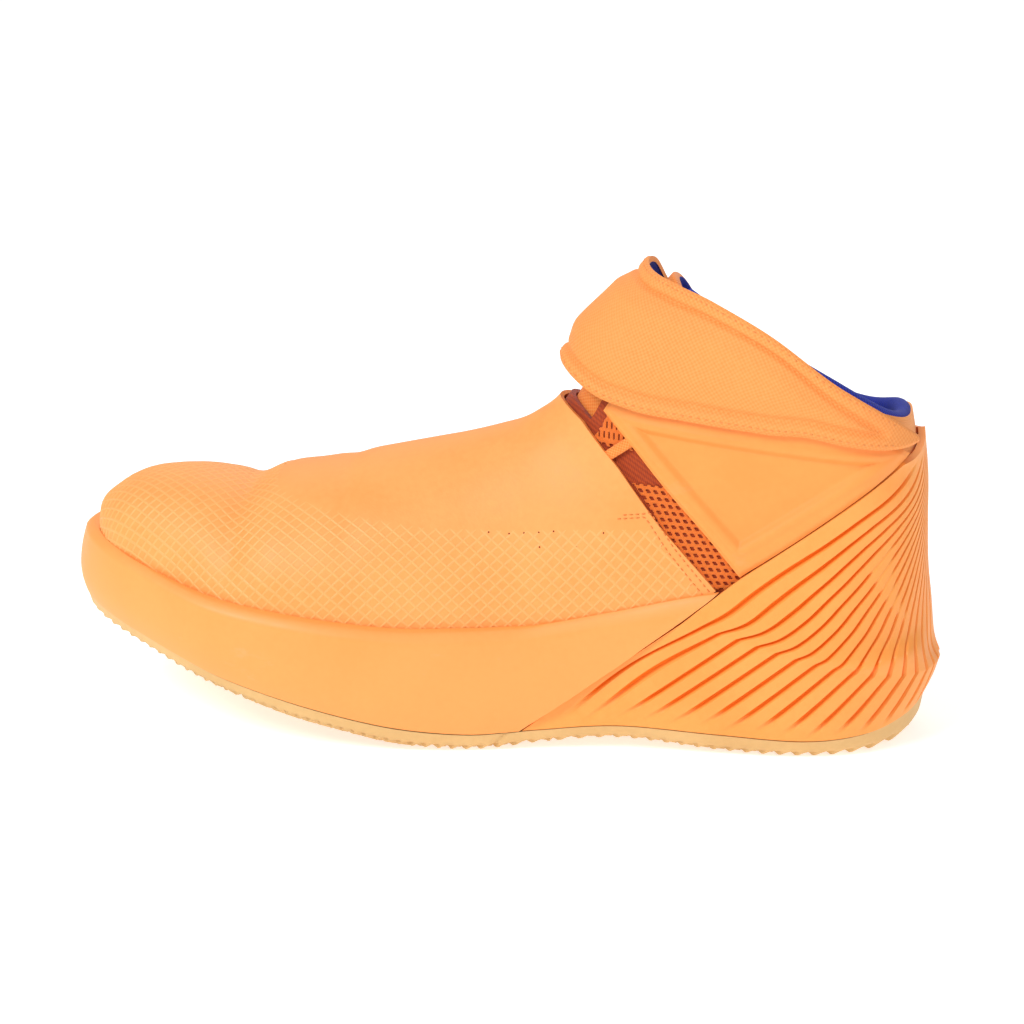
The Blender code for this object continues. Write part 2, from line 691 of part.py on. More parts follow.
def make_outsole(look):
    rings = []
    rows = [0.0, WRAP_SEAM - 0.08] + [row for row in CUP_ROWS if WRAP_SEAM <= row <= 10.0]
    stops = [(section(row).sole_s, row) for row in rows]
    stops += [(s, None) for s in REAR_STATIONS]
    for s, row in stops:
        lateral, medial = outsole_half(s, 1, row), outsole_half(s, -1, row)
        rings.append(lateral + medial[-2:0:-1])
    outsole = loft("outsole", rings, look)
    cut(outsole, bpy.data.objects["cup_room"])
    tidy_cuts(outsole)
    return outsole


INSOLE_ROWS = [2.2] + [row for row in CUP_ROWS if 3.0 <= row <= 13.5] + [14.0]


def make_insole(look):
    rings = []
    for row in INSOLE_ROWS:
        inset = 2.6 + 3.0 * max(row - 13.0, 0.0)
        sides = []
        for side in (1, -1):
            foot = feather(row, side)
            y = foot[1] - side * inset
            sides.append([np.array([foot[0], y, foot[2]]), np.array([foot[0], y, foot[2] + INSOLE_WALL])])
        middle = (sides[0][0] + sides[1][0]) / 2
        high = middle + np.array([0.0, 0.0, INSOLE_WALL - 0.6])
        rings.append([sides[0][0], sides[0][1], high, sides[1][1], sides[1][0], middle])
    return loft("insole", rings, look, split=3)


# Levels of the heel cage above its crease: front edge station, height at the back, outward reach at each end
CageLevel = namedtuple("CageLevel", "front_s back_z front_reach back_reach")
CAGE_LEVELS = [
    CageLevel(79.0, 38.0, 5.4, 9.6),
    CageLevel(69.0, 48.0, 3.8, 5.8),
    CageLevel(58.0, 61.0, 3.2, 3.6),
    CageLevel(45.0, 76.0, 3.2, 3.2),
    CageLevel(31.0, 92.0, 3.2, 3.2),
    CageLevel(19.0, 107.0, 3.2, 3.2),
]
CAGE_FOOT = 140.0          # station of the cage's front tip
CREASE_FRONT = 88.0        # station where the crease meets the front edge
CAGE_FRONT_ROW = 9.7       # row of the last whose base lies just behind the cage's front tip


@lru_cache(maxsize=None)
def heel_outline(front, side):
    """Stations from station front round to the heel's back, and the outline's length up to each."""
    stations = front * (1 - np.linspace(0.0, 1.0, 81) ** 0.6)
    points = np.array([sole_side(max(s, 0.0), side, 0.0, 0.0)[:2] for s in stations.tolist()])
    length = np.concatenate([[0.0], np.cumsum(np.linalg.norm(np.diff(points, axis=0), axis=1))])
    return stations, length


def heel_arc(front, share, side):
    """Station on the sole's outline at a share of the way from station front round to the heel's back."""
    stations, length = heel_outline(front, side)
    return max(float(np.interp(share * length[-1], length, stations)), 0.0)


def heel_row(z):
    """Row of the last whose base lies at height z on the heel's back."""
    heights = [sec.base_z for sec in LAST[HEEL_ROW:]]
    return HEEL_ROW + float(np.interp(z, heights, range(len(heights))))


def rib_columns():
    """(share round the side, groove depth share) of one side's columns, from the front edge to the back."""
    columns = [(0.0, 0.0), (0.05, 0.0)]
    pitch = 0.95 / RIBS_PER_SIDE
    for rib in range(RIBS_PER_SIDE):
        start = 0.05 + pitch * rib
        columns.append((start + 0.22 * pitch, 1.0))
        columns.append((start + 0.5 * pitch, 0.0))
        if rib == RIBS_PER_SIDE - 1:
            columns.append((1.0, 0.0))
    return columns


def cage_ring(share, groove, side):
    """Section of the heel cage at one column: up its outside, over its top edge and down inside the foot."""
    depth = RIB_DEPTH * groove
    foot_s = heel_arc(CAGE_FOOT, share, side)
    middle_s = heel_arc((CAGE_FOOT + CREASE_FRONT) / 2, share, side)
    crease_s = heel_arc(CREASE_FRONT, share, side)
    foot_inset = (6.0 + 2.5 * min(max((60.0 - foot_s) / 60.0, 0.0), 1.0)) * 0.5
    crease_z = along(CAGE_CREASE, crease_s)
    crease_inset = 2.5 * min(max((crease_s - 58.0) / 30.0, 0.0), 1.0)
    edge_share = max(1.0 - share / 0.15, 0.0)
    low = sole_side(foot_s, side, foot_inset, 0.0)
    low[2] = outsole_top(low[0]) + GAP
    middle_z = (low[2] + crease_z) / 2
    middle_z += (along(CAGE_EDGE, middle_s) - middle_z) * edge_share
    ring = [low]
    ring.append(sole_side(middle_s, side, 0.4 * foot_inset + 0.6 * crease_inset + depth, middle_z))
    ring.append(sole_side(crease_s, side, crease_inset + depth, crease_z))
    places = []
    for level in CAGE_LEVELS:
        front = np.array(locate(level.front_s, along(CAGE_EDGE, level.front_s)))
        back = np.array([heel_row(level.back_z), 1.0])
        row, a = (front + (back - front) * share).tolist()
        places.append((row, a))
        reach = level.front_reach + (level.back_reach - level.front_reach) * share
        top = level is CAGE_LEVELS[-1]
        ring.append(skin(row, -side * a, reach - (0.0 if top else depth)))
    for row, a in places[::-2]:
        ring.append(skin(row, -side * a, -1.5))
    foot = feather(CAGE_FRONT_ROW + (HEEL_ROW - CAGE_FRONT_ROW) * share, side)
    out = np.array([-1.2 * share**6, side * (1 - share**6) * 2 * GAP, 0.0])
    crease = np.array(locate(CREASE_FRONT, along(CAGE_EDGE, CREASE_FRONT)))
    row, a = (crease + (np.array([float(HEEL_ROW), 1.0]) - crease) * share).tolist()
    inside = skin(row, -side * a, -1.5)
    ring.append(inside)
    high = foot + out
    high[2] = min(foot[2] - 2.0, max(along_slope(foot[0]), outsole_top(foot[0]) + 1.0))
    ring.append(high)
    ring.append(np.array([high[0], high[1], outsole_top(high[0]) + GAP]))
    return ring


def make_cage(look):
    columns = rib_columns()
    rings = [cage_ring(share, groove, 1) for share, groove in columns]
    rings += [cage_ring(share, groove, -1) for share, groove in reversed(columns[:-1])]
    cage = loft("heel_cage", rings, look, split=len(CAGE_LEVELS) + 3)
    cut(cage, bpy.data.objects["heel_room"])
    tidy_cuts(cage)
    return cage


def coons(left, right, low, high, across, up):
    """Side-view point of a four-sided patch whose edges are lists of points."""
    def point(line, share):
        return spline(line, share * (len(line) - 1))

    ends = (
        (1 - across) * (1 - up) * np.array(left[0]) + across * (1 - up) * np.array(right[0])
        + (1 - across) * up * np.array(left[-1]) + across * up * np.array(right[-1])
    )
    return (
        (1 - across) * point(left, up) + across * point(right, up)
        + (1 - up) * point(low, across) + up * point(high, across) - ends
    )


# Edges of the ankle quarters in the side view; the medial one ends lower at the collar
QUARTER_REAR = (20.0, 106.5)
QUARTER_FOOT = (69.4, 65.0)
QUARTER_FRONT = (116.0, 113.5)
QUARTER_LOW = [QUARTER_REAR, (45.0, 82.6), QUARTER_FOOT]
QUARTER_GAP = [QUARTER_FOOT, (81.0, 77.0), (94.0, 90.5), (106.0, 103.5), QUARTER_FRONT]
COLLAR_LATERAL = [QUARTER_REAR, (52.0, 132.0), (83.0, 147.5)]
THROAT_LATERAL = [COLLAR_LATERAL[-1], (95.0, 141.0), (108.0, 126.0), QUARTER_FRONT]
COLLAR_MEDIAL = [QUARTER_REAR, (50.0, 113.0), (84.0, 133.0)]
THROAT_MEDIAL = [COLLAR_MEDIAL[-1], (96.0, 132.0), (108.0, 124.0), QUARTER_FRONT]


def patch_grid(edges, across_count, up_count, side, offsets):
    """Outer and inner grids of a wall laid on the last over a four-sided patch of the side view."""
    grids = []
    for out in offsets:
        grid = []
        for i in range(across_count + 1):
            line = []
            for j in range(up_count + 1):
                s, z = coons(*edges, i / across_count, j / up_count).tolist()
                row, a = locate(s, z)
                line.append(skin(row, -side * a, out))
            grid.append(line)
        grids.append(grid)
    return grids


def make_quarter(name, side, look):
    collar, throat = (COLLAR_LATERAL, THROAT_LATERAL) if side > 0 else (COLLAR_MEDIAL, THROAT_MEDIAL)
    edges = (collar, QUARTER_GAP, QUARTER_LOW, throat)
    outer, inner = patch_grid(edges, 12, 8, side, (QUARTER_LIFT + QUARTER_WALL, QUARTER_LIFT))
    return shell(name, outer, inner, look)


# Cuts across the strap, from its lateral anchor over the front to its medial tab, by both its edges
StrapCut = namedtuple("StrapCut", "side low_s low_z high_s high_z")
STRAP = [
    StrapCut(1, 21.0, 109.5, 22.0, 113.0),
    StrapCut(1, 41.0, 111.5, 38.0, 129.5),
    StrapCut(1, 62.0, 113.0, 59.0, 145.0),
    StrapCut(1, 85.0, 114.5, 78.0, 154.0),
    StrapCut(1, 106.0, 116.0, 90.5, 157.0),
    StrapCut(1, 120.0, 120.0, 98.5, 158.0),
    StrapCut(-1, 120.0, 120.0, 98.5, 157.5),
    StrapCut(-1, 109.5, 116.5, 95.0, 147.0),
    StrapCut(-1, 97.5, 113.5, 88.0, 136.0),
    StrapCut(-1, 85.0, 111.0, 79.5, 127.0),
    StrapCut(-1, 76.0, 111.5, 74.0, 122.0),
    StrapCut(-1, 72.5, 114.5, 72.0, 118.5),
]


@lru_cache(maxsize=None)
def strap_edges():
    """(row, a) of both edges of each of the strap's cuts."""
    placed = []
    for item in STRAP:
        low, high = locate(item.low_s, item.low_z), locate(item.high_s, item.high_z)
        placed.append((low[0], -item.side * low[1], high[0], -item.side * high[1]))
    return np.array(placed)


def strap_rise(place):
    """Height of the strap's inner face above the last: over the quarter, then over the loop patch."""
    over = min(max((place - 5.0) / 2.0, 0.0), 1.0)
    return QUARTER_LIFT + QUARTER_WALL + GAP + (PATCH_WALL + GAP) * over


def make_strap(look):
    outer, inner = [], []
    count = 30
    for i in range(count + 1):
        place = (len(STRAP) - 1) * i / count
        low_row, low_a, high_row, high_a = spline(strap_edges(), place).tolist()
        rise = strap_rise(place)
        outer_line, inner_line = [], []
        for j in range(5):
            up = j / 4
            row, a = low_row + (high_row - low_row) * up, low_a + (high_a - low_a) * up
            outer_line.append(skin(row, a, rise + STRAP_WALL))
            inner_line.append(skin(row, a, rise))
        outer.append(outer_line)
        inner.append(inner_line)
    return shell("strap", outer, inner, look)


PATCH_REAR = [(36.0, 103.5), (36.1, 105.5), (37.0, 107.5)]
PATCH_FRONT = [(101.0, 111.5), (96.0, 122.5), (86.0, 131.5)]
PATCH_LOW = [(36.0, 103.5), (66.0, 107.0), (101.0, 111.5)]
PATCH_HIGH = [(37.0, 107.5), (60.0, 116.5), (86.0, 131.5)]


def make_patch(look):
    lift = QUARTER_LIFT + QUARTER_WALL + GAP
    edges = (PATCH_REAR, PATCH_FRONT, PATCH_LOW, PATCH_HIGH)
    outer, inner = patch_grid(edges, 8, 4, -1, (lift + PATCH_WALL, lift))
    return shell("loop_patch", outer, inner, look)


# Bars of the lace across the throat, as rows of the last from the lowest eyelets up
LACE_BARS = [15.6, 16.5, 17.4, 18.3]
LACE_STRAIGHT = 0.07       # ring parameter where a bar's straight run ends
LACE_BEND = 0.045          # reach of the bend that joins it to the next bar


def lace_centres():
    """Points of the lace's middle line: bars from side to side, joined by half turns."""
    centres = []
    for i, row in enumerate(LACE_BARS):
        way = 1 if i % 2 == 0 else -1
        for step in range(-2, 3):
            centres.append(skin(row, way * LACE_STRAIGHT * step / 2, LACE_LIFT))
        if row == LACE_BARS[-1]:
            break
        half = (LACE_BARS[i + 1] - row) / 2
        for turn in (0.25, 0.5, 0.75):
            angle = math.pi * turn
            a = way * (LACE_STRAIGHT + LACE_BEND * math.sin(angle))
            centres.append(skin(row + half * (1 - math.cos(angle)), a, LACE_LIFT))
    return centres


def make_lace(look):
    """One cord that crosses the throat from side to side, clear of tongue and strap."""
    centres = lace_centres()
    rings = []
    for i, centre in enumerate(centres):
        forward = centres[min(i + 1, len(centres) - 1)] - centres[max(i - 1, 0)]
        forward /= np.linalg.norm(forward)
        up = np.array([0.85, 0.0, 0.53])
        up -= forward * np.dot(up, forward)
        up /= np.linalg.norm(up)
        aside = np.cross(forward, up)
        ring = []
        for j in range(LACE_SIDES):
            turn = 2 * math.pi * j / LACE_SIDES
            ring.append(centre + (up * math.sin(turn) + aside * math.cos(turn)) * LACE_DIAMETER / 2)
        rings.append(ring)
    return loft("lace", rings, look, split=LACE_SIDES // 2)


def main():
    for obj in list(bpy.data.objects):
        bpy.data.objects.remove(obj)
    material("cutter", (0.5, 0.5, 0.5), 0.5)
    foot_room("cup_room", cup_clear)
    foot_room("heel_room", lambda a: GAP)
    textile = material("orange_textile", (0.93, 0.42, 0.12), 0.75)
    moulded = material("orange_moulded", (0.95, 0.42, 0.12), 0.55)
    make_outsole(material("gum_rubber", (0.85, 0.62, 0.36), 0.5))
    make_midsole(material("orange_foam", (0.96, 0.48, 0.14), 0.55))
    make_cage(material("orange_cage", (0.95, 0.36, 0.08), 0.5))
    make_bootie(textile)
    make_shroud(material("orange_synthetic", (0.95, 0.42, 0.12), 0.6))
    make_tongue(textile)
    make_insole(material("insole_fabric", (0.10, 0.12, 0.45), 0.85))
    make_quarter("quarter_lateral", 1, moulded)
    make_quarter("quarter_medial", -1, moulded)
    make_patch(material("blue_loop", (0.03, 0.06, 0.40), 0.9))
    make_strap(material("strap_synthetic", (0.95, 0.42, 0.12), 0.65))
    make_lace(material("orange_cord", (0.90, 0.35, 0.08), 0.8))


main()
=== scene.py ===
"""Looks of the left basketball shoe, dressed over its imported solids.

The last and the sole are drawn in millimetres by station s (heel to toe), y (lateral) and z (up), as in the
part's source, and each piece is laid on them before its mesh goes to metres in the part's frame.
"""

import math

import bpy
import numpy as np
from mathutils import Matrix, Vector


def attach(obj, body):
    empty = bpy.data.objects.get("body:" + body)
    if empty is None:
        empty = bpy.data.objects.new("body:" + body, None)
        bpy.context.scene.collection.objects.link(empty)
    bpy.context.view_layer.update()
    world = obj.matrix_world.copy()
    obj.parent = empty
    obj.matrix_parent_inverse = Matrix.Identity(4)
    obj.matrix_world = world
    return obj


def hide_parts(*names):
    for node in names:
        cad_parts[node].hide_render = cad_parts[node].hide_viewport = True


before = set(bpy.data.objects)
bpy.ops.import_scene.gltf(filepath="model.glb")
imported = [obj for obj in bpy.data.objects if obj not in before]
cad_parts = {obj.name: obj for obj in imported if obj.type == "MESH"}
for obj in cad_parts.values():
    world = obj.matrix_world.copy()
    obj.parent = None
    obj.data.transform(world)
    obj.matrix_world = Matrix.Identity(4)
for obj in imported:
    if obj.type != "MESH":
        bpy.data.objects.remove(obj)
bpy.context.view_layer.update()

MM = 0.001
LENGTH = 305.0
MIDDLE_Y = 1.7
GAP = 0.35
UPPER_SHARE = 0.6
LOWER_EXPONENT = 2.2
FOOT_INSET, RIM_INSET = 5.5, 3.2
BULGE = 0.46
COLLAR_ROW = 20.0
COLLAR_DIP, DIP_ROW = 1.3, 16.0
HEEL_ROW = 15
SHROUD_WALL = 1.6
CUP_CLEAR = 3.4 * GAP + SHROUD_WALL
QUARTER_TOP_FACE = 2.95
ROOT = "root"

# Sections of the last: base_s base_z ridge_s ridge_z centre lean lateral medial widest floor crown sole_s
LAST = np.array([
    (293.5, 45.0, 293.5, 66.5, -8.6, 0.0, -10.5, -11.5, 0.40, 0.80, 2.4, 300.5),
    (295.0, 46.0, 295.0, 64.0, -9.0, 0.0, 0.0, 0.0, 0.40, 0.80, 2.4, 305.0),
    (293.5, 45.0, 293.5, 66.5, -8.6, 0.0, 10.5, 11.5, 0.40, 0.80, 2.4, 300.5),
    (290.0, 43.5, 290.5, 69.0, -8.2, 0.0, 17.0, 17.5, 0.38, 0.80, 2.4, 295.0),
    (284.5, 40.5, 285.0, 72.8, -7.4, 0.0, 23.0, 23.5, 0.36, 0.82, 2.4, 287.5),
    (275.5, 37.0, 276.0, 76.3, -6.2, 0.0, 28.0, 29.0, 0.34, 0.84, 2.3, 278.0),
    (260.0, 32.5, 260.5, 77.8, -4.0, -1.0, 35.0, 36.0, 0.32, 0.86, 2.2, 261.5),
    (240.0, 27.5, 240.5, 77.4, -1.0, -2.0, 42.0, 41.0, 0.32, 0.86, 2.1, 240.5),
    (215.0, 23.0, 218.5, 83.2, 1.0, -3.0, 44.5, 43.0, 0.32, 0.86, 2.0, 216.0),
    (188.0, 20.5, 197.0, 88.7, 1.5, -4.0, 43.5, 39.5, 0.31, 0.86, 1.9, 189.0),
    (160.0, 20.0, 177.0, 93.5, 1.0, -4.0, 40.0, 35.5, 0.30, 0.86, 1.85, 160.0),
    (130.0, 21.0, 159.0, 97.7, 0.5, -3.5, 36.5, 33.0, 0.29, 0.87, 1.85, 131.0),
    (98.0, 23.0, 146.0, 101.5, 0.0, -3.0, 35.0, 33.0, 0.28, 0.88, 1.85, 100.0),
    (64.0, 25.0, 138.5, 106.0, 0.0, -2.5, 34.5, 33.5, 0.28, 0.88, 1.85, 66.0),
    (36.0, 27.0, 134.0, 109.5, 0.0, -2.0, 34.5, 33.5, 0.28, 0.88, 1.9, 36.0),
    (19.0, 29.5, 131.0, 113.0, 0.0, -1.5, 34.5, 33.5, 0.29, 0.62, 1.9, 14.0),
    (12.0, 36.0, 128.0, 118.0, 0.0, -1.0, 34.5, 34.0, 0.30, 0.0, 1.9, 0.0),
    (9.8, 47.0, 123.5, 126.0, 0.0, -1.0, 34.0, 33.5, 0.30, 0.0, 1.95, 0.0),
    (9.5, 63.0, 118.0, 135.0, 0.0, -1.0, 33.0, 33.0, 0.30, 0.0, 2.0, 0.0),
    (10.3, 81.0, 112.0, 143.5, 0.0, -1.0, 32.0, 32.0, 0.30, 0.0, 2.0, 0.0),
    (11.3, 98.0, 106.0, 151.5, 0.0, -1.0, 31.5, 31.5, 0.31, 0.0, 2.0, 0.0),
    (14.0, 114.0, 100.0, 158.5, 0.0, -1.0, 31.0, 31.0, 0.32, 0.0, 2.0, 0.0),
    (17.0, 124.0, 95.0, 166.0, 0.0, -1.0, 31.0, 31.0, 0.32, 0.0, 2.0, 0.0),
])
LAST_ROWS = len(LAST) - 2.0

# The sole: s lateral medial edge_lateral edge_medial tread top rim
SOLE = np.array([
    (3.5, -16.0, 16.0, 2.2, 2.2, 2.2, 15.5, 60.0),
    (0.0, 0.0, 0.0, 2.5, 2.5, 2.5, 17.0, 60.0),
    (3.5, 16.0, -16.0, 2.2, 2.2, 2.2, 15.5, 60.0),
    (12.0, 28.0, -27.5, 1.5, 1.5, 1.2, 11.5, 60.0),
    (25.0, 36.5, -36.0, 0.6, 0.6, 0.2, 8.0, 60.0),
    (45.0, 41.5, -40.5, 0.3, 0.4, 0.0, 6.5, 60.0),
    (75.0, 42.8, -41.0, 1.6, 3.2, 0.0, 8.0, 58.0),
    (108.0, 43.0, -40.5, 4.2, 6.5, 3.0, 9.5, 50.0),
    (135.0, 45.5, -40.3, 2.4, 4.0, 1.2, 7.5, 44.5),
    (145.0, 47.2, -41.0, 1.2, 2.0, 0.0, 6.7, 43.6),
    (160.0, 50.0, -42.8, 0.6, 0.8, 0.0, 6.2, 43.0),
    (181.0, 53.5, -46.5, 2.6, 2.6, 0.3, 8.5, 43.0),
    (201.0, 55.0, -49.8, 7.0, 6.5, 4.5, 12.5, 44.5),
    (222.0, 54.2, -51.6, 12.0, 11.5, 9.0, 17.5, 46.5),
    (243.0, 49.8, -51.4, 17.5, 17.0, 14.5, 22.5, 48.5),
    (259.0, 42.8, -49.0, 21.5, 21.5, 18.5, 27.0, 51.0),
    (277.0, 31.0, -43.0, 26.0, 26.0, 22.5, 31.0, 55.0),
    (287.0, 23.5, -38.5, 28.0, 28.0, 24.5, 33.5, 57.5),
    (295.0, 15.0, -32.5, 29.0, 29.0, 26.5, 35.0, 59.5),
    (301.5, 4.5, -23.0, 29.5, 29.5, 28.0, 36.0, 61.0),
    (305.0, -9.0, -9.0, 30.0, 30.0, 29.0, 36.5, 61.5),
    (301.5, -23.0, 4.5, 29.5, 29.5, 28.0, 36.0, 61.0),
])
SOLE_ROWS = len(SOLE) - 2.0

# Lines of the side view, as (station, height)
CAGE_EDGE = [(140.0, 7.6), (107.0, 32.5), (68.0, 63.5), (44.0, 81.5), (20.0, 100.5), (14.0, 107.0)]
SHROUD_EDGE = [(76.0, 58.5), (89.0, 73.0), (101.0, 89.0), (114.0, 102.5), (131.0, 113.0)]
CAGE_CREASE = [(0.0, 27.0), (12.0, 28.5), (25.0, 31.0), (45.0, 36.0), (72.0, 44.5), (88.0, 47.6)]
TOE_WRAP = [
    (189.0, 0.0), (202.5, 12.6), (216.0, 20.5), (226.0, 29.0), (236.0, 39.0), (247.0, 51.0), (306.0, 70.0),
]


def cubic(p0, p1, p2, p3, u):
    """Points of a smooth curve from p1 to p2, at share u, with p0 before and p3 after."""
    return 0.5 * (
        2 * p1 + (p2 - p0) * u + (2 * p0 - 5 * p1 + 4 * p2 - p3) * u**2 + (3 * p1 - p0 - 3 * p2 + p3) * u**3
    )


def catmull(table, index):
    """Smooth rows of a table at fractional row numbers."""
    last = len(table) - 1
    index = np.clip(np.asarray(index, float), 0.0, last)
    i = np.minimum(index.astype(int), last - 1)
    u = (index - i)[..., None]
    rows = np.concatenate([[2 * table[0] - table[1]], table, [2 * table[-1] - table[-2]]])
    return cubic(rows[i], rows[i + 1], rows[i + 2], rows[i + 3], u)


def along(line, s):
    """Values at s of a broken line of (place, value) points."""
    points = sorted(line)
    return np.interp(s, [p[0] for p in points], [p[1] for p in points])


def smooth(value, low, high):
    """Soft step from 0 at low to 1 at high."""
    t = np.clip((value - low) / (high - low), 0.0, 1.0)
    return t * t * (3 - 2 * t)


def way_along(points):
    """Length along a line of points, at each of them."""
    return np.concatenate([[0.0], np.cumsum(np.linalg.norm(np.diff(points, axis=0), axis=1))])


def section(row):
    """The columns of the last's table at fractional rows."""
    return np.moveaxis(catmull(LAST, np.asarray(row, float) + 1.0), -1, 0)


def on_last(row, a):
    """Points of the last: a from -1 (lateral base) over 0 (ridge) to 1 (medial base)."""
    base_s, base_z, ridge_s, ridge_z, centre, lean, lateral, medial, widest, floor, crown, _ = section(row)
    b = np.abs(a)
    high = np.clip(b / UPPER_SHARE, 0.0, 1.0) * math.pi / 2
    low = np.clip((b - UPPER_SHARE) / (1 - UPPER_SHARE), 0.0, 1.0) * math.pi / 2
    upper = b <= UPPER_SHARE
    v = np.where(
        upper,
        widest + (1 - widest) * np.maximum(np.cos(high), 0.0) ** (2 / crown),
        widest - widest * np.sin(low) ** (2 / LOWER_EXPONENT),
    )
    w = np.where(
        upper,
        np.sin(high) ** (2 / crown),
        floor + (1 - floor) * np.maximum(np.cos(low), 0.0) ** (2 / LOWER_EXPONENT),
    )
    half = np.where(a < 0, lateral, -medial)
    return np.stack([
        base_s + (ridge_s - base_s) * v,
        centre + lean * np.maximum(v, 0.0) ** 2 + half * w,
        base_z + (ridge_z - base_z) * v,
    ], axis=-1)


def skin(row, a, out=0.0):
    """Points at a distance out from the last, along its normal."""
    row, a, out = np.broadcast_arrays(np.asarray(row, float), np.asarray(a, float), np.asarray(out, float))
    step_row, step_a = 0.02, 0.004
    low, high = np.maximum(row - step_row, 0.0), np.minimum(row + step_row, LAST_ROWS)
    left, right = np.maximum(a - step_a, -1.0), np.minimum(a + step_a, 1.0)
    right = np.where(a < 0, np.minimum(right, 0.0), right)
    left = np.where(a > 0, np.maximum(left, 0.0), left)
    normal = np.cross(on_last(high, a) - on_last(low, a), on_last(row, right) - on_last(row, left))
    normal[row <= 0.0] = (1.0, 0.0, 0.0)
    closed = (np.abs(a) >= 1.0) & (section(row)[9] < 0.02)
    normal[..., 1] = np.where(closed, 0.0, normal[..., 1])
    normal /= np.linalg.norm(normal, axis=-1, keepdims=True)
    return on_last(row, a) + normal * out[..., None]


def dipped(row, a):
    """Row of the upper at a ring parameter: towards the collar its rows dip on the medial side."""
    dip = smooth(a, 0.0, 0.3) * smooth(1 - a, 0.0, 0.45)
    return row - COLLAR_DIP * dip * np.clip((row - DIP_ROW) / (COLLAR_ROW - DIP_ROW), 0.0, 1.0)


def ring_parameter(row, v):
    """The a of a half ring at height share v."""
    sec = section(row)
    widest, crown = sec[8], sec[10]
    upper = np.arccos(np.clip((v - widest) / (1 - widest), 0.0, 1.0) ** (crown / 2))
    lower = np.arcsin(np.clip((widest - v) / widest, 0.0, 1.0) ** (LOWER_EXPONENT / 2))
    return np.where(
        v >= widest,
        UPPER_SHARE * upper / (math.pi / 2),
        UPPER_SHARE + (1 - UPPER_SHARE) * lower / (math.pi / 2),
    )


def locate(s, z):
    """(row, a) of the last's side at side-view points behind the ball."""
    s, z = np.broadcast_arrays(np.asarray(s, float), np.asarray(z, float))
    low, high = np.full(s.shape, 6.0), np.full(s.shape, LAST_ROWS)
    for _ in range(36):
        middle = (low + high) / 2
        base_s, base_z, ridge_s, ridge_z = section(middle)[:4]
        ahead = (s - base_s) * (ridge_z - base_z) - (z - base_z) * (ridge_s - base_s) < 0
        low, high = np.where(ahead, middle, low), np.where(ahead, high, middle)
    base_s, base_z, ridge_s, ridge_z = section(low)[:4]
    size = (ridge_s - base_s) ** 2 + (ridge_z - base_z) ** 2
    v = ((s - base_s) * (ridge_s - base_s) + (z - base_z) * (ridge_z - base_z)) / size
    return low, ring_parameter(low, np.clip(v, 0.0, 1.0))


def sole_row(s):
    """Fractional row of the sole's table at stations s."""
    s = np.asarray(s, float)
    low, high = np.full(s.shape, 1.0), np.full(s.shape, SOLE_ROWS)
    for _ in range(40):
        middle = (low + high) / 2
        ahead = catmull(SOLE, middle)[..., 0] < s
        low, high = np.where(ahead, middle, low), np.where(ahead, high, middle)
    return low


def sole_at(s):
    """s lateral medial edge_lateral edge_medial tread top rim at stations s."""
    return np.moveaxis(catmull(SOLE, sole_row(np.clip(s, 0.0, LENGTH))), -1, 0)


def sole_side(s, side, inset, z):
    """Points of the sole's side wall: side 1 is lateral, -1 medial; inset is in from the widest outline."""
    s, side, inset, z = np.broadcast_arrays(*(np.asarray(x, float) for x in (s, side, inset, z)))
    row = sole_row(s)
    here, before, after = catmull(SOLE, row), catmull(SOLE, row - 0.05), catmull(SOLE, row + 0.05)
    lateral = side > 0
    along_s = after[..., 0] - before[..., 0]
    along_y = np.where(lateral, after[..., 1] - before[..., 1], after[..., 2] - before[..., 2])
    heel, toe = s <= 0.01, s >= LENGTH - 0.01
    along_s = np.where(heel | toe, 0.0, along_s)
    along_y = np.where(heel, side, np.where(toe, -side, along_y))
    size = np.hypot(along_s, along_y)
    y = np.where(lateral, here[..., 1], here[..., 2])
    return np.stack([s + along_y * side / size * inset, y - along_s * side / size * inset, z], axis=-1)


def wall_inset(share):
    """Inset of the cup sole's wall at a share of its height, from the tread's edge to the rim."""
    low = FOOT_INSET * np.clip(1 - share / BULGE, 0.0, 1.0) ** 2.0
    high = RIM_INSET * np.clip((share - BULGE) / (1 - BULGE), 0.0, 1.2) ** 1.8
    return np.where(share < BULGE, low, high)


def outsole_top(s):
    return sole_at(s)[6]


def tread_inset(s):
    """How far the tread's edge lies in from the widest outline, most at the heel."""
    return 6.0 + 2.5 * np.clip((60.0 - s) / 60.0, 0.0, 1.0)


def cage_slope(s):
    """Height of the cage's front edge, carried on as a straight slope below its foot."""
    (foot_s, foot_z), (next_s, next_z) = CAGE_EDGE[0], CAGE_EDGE[1]
    slope = foot_z + (foot_s - s) * (next_z - foot_z) / (foot_s - next_s)
    return np.where(s > foot_s, slope, along(CAGE_EDGE, s))


def model(points):
    """Points in millimetres to metres in the part's frame."""
    return (np.asarray(points, float) - np.array([LENGTH / 2, MIDDLE_Y, 0.0])) * MM


def pick(piece):
    bpy.ops.object.select_all(action="DESELECT")
    piece.select_set(True)
    bpy.context.view_layer.objects.active = piece


def apply_modifiers(piece):
    pick(piece)
    for name in [modifier.name for modifier in piece.modifiers]:
        bpy.ops.object.modifier_apply(modifier=name)


def in_edit(piece, *steps):
    """Runs mesh operators on the whole piece."""
    pick(piece)
    bpy.ops.object.mode_set(mode="EDIT")
    bpy.ops.mesh.select_all(action="SELECT")
    for step in steps:
        step()
    bpy.ops.object.mode_set(mode="OBJECT")


def merge_close(piece, distance=0.00001):
    in_edit(piece, lambda: bpy.ops.mesh.remove_doubles(threshold=distance))


def face_outwards(piece):
    in_edit(piece, lambda: bpy.ops.mesh.normals_make_consistent(inside=False))


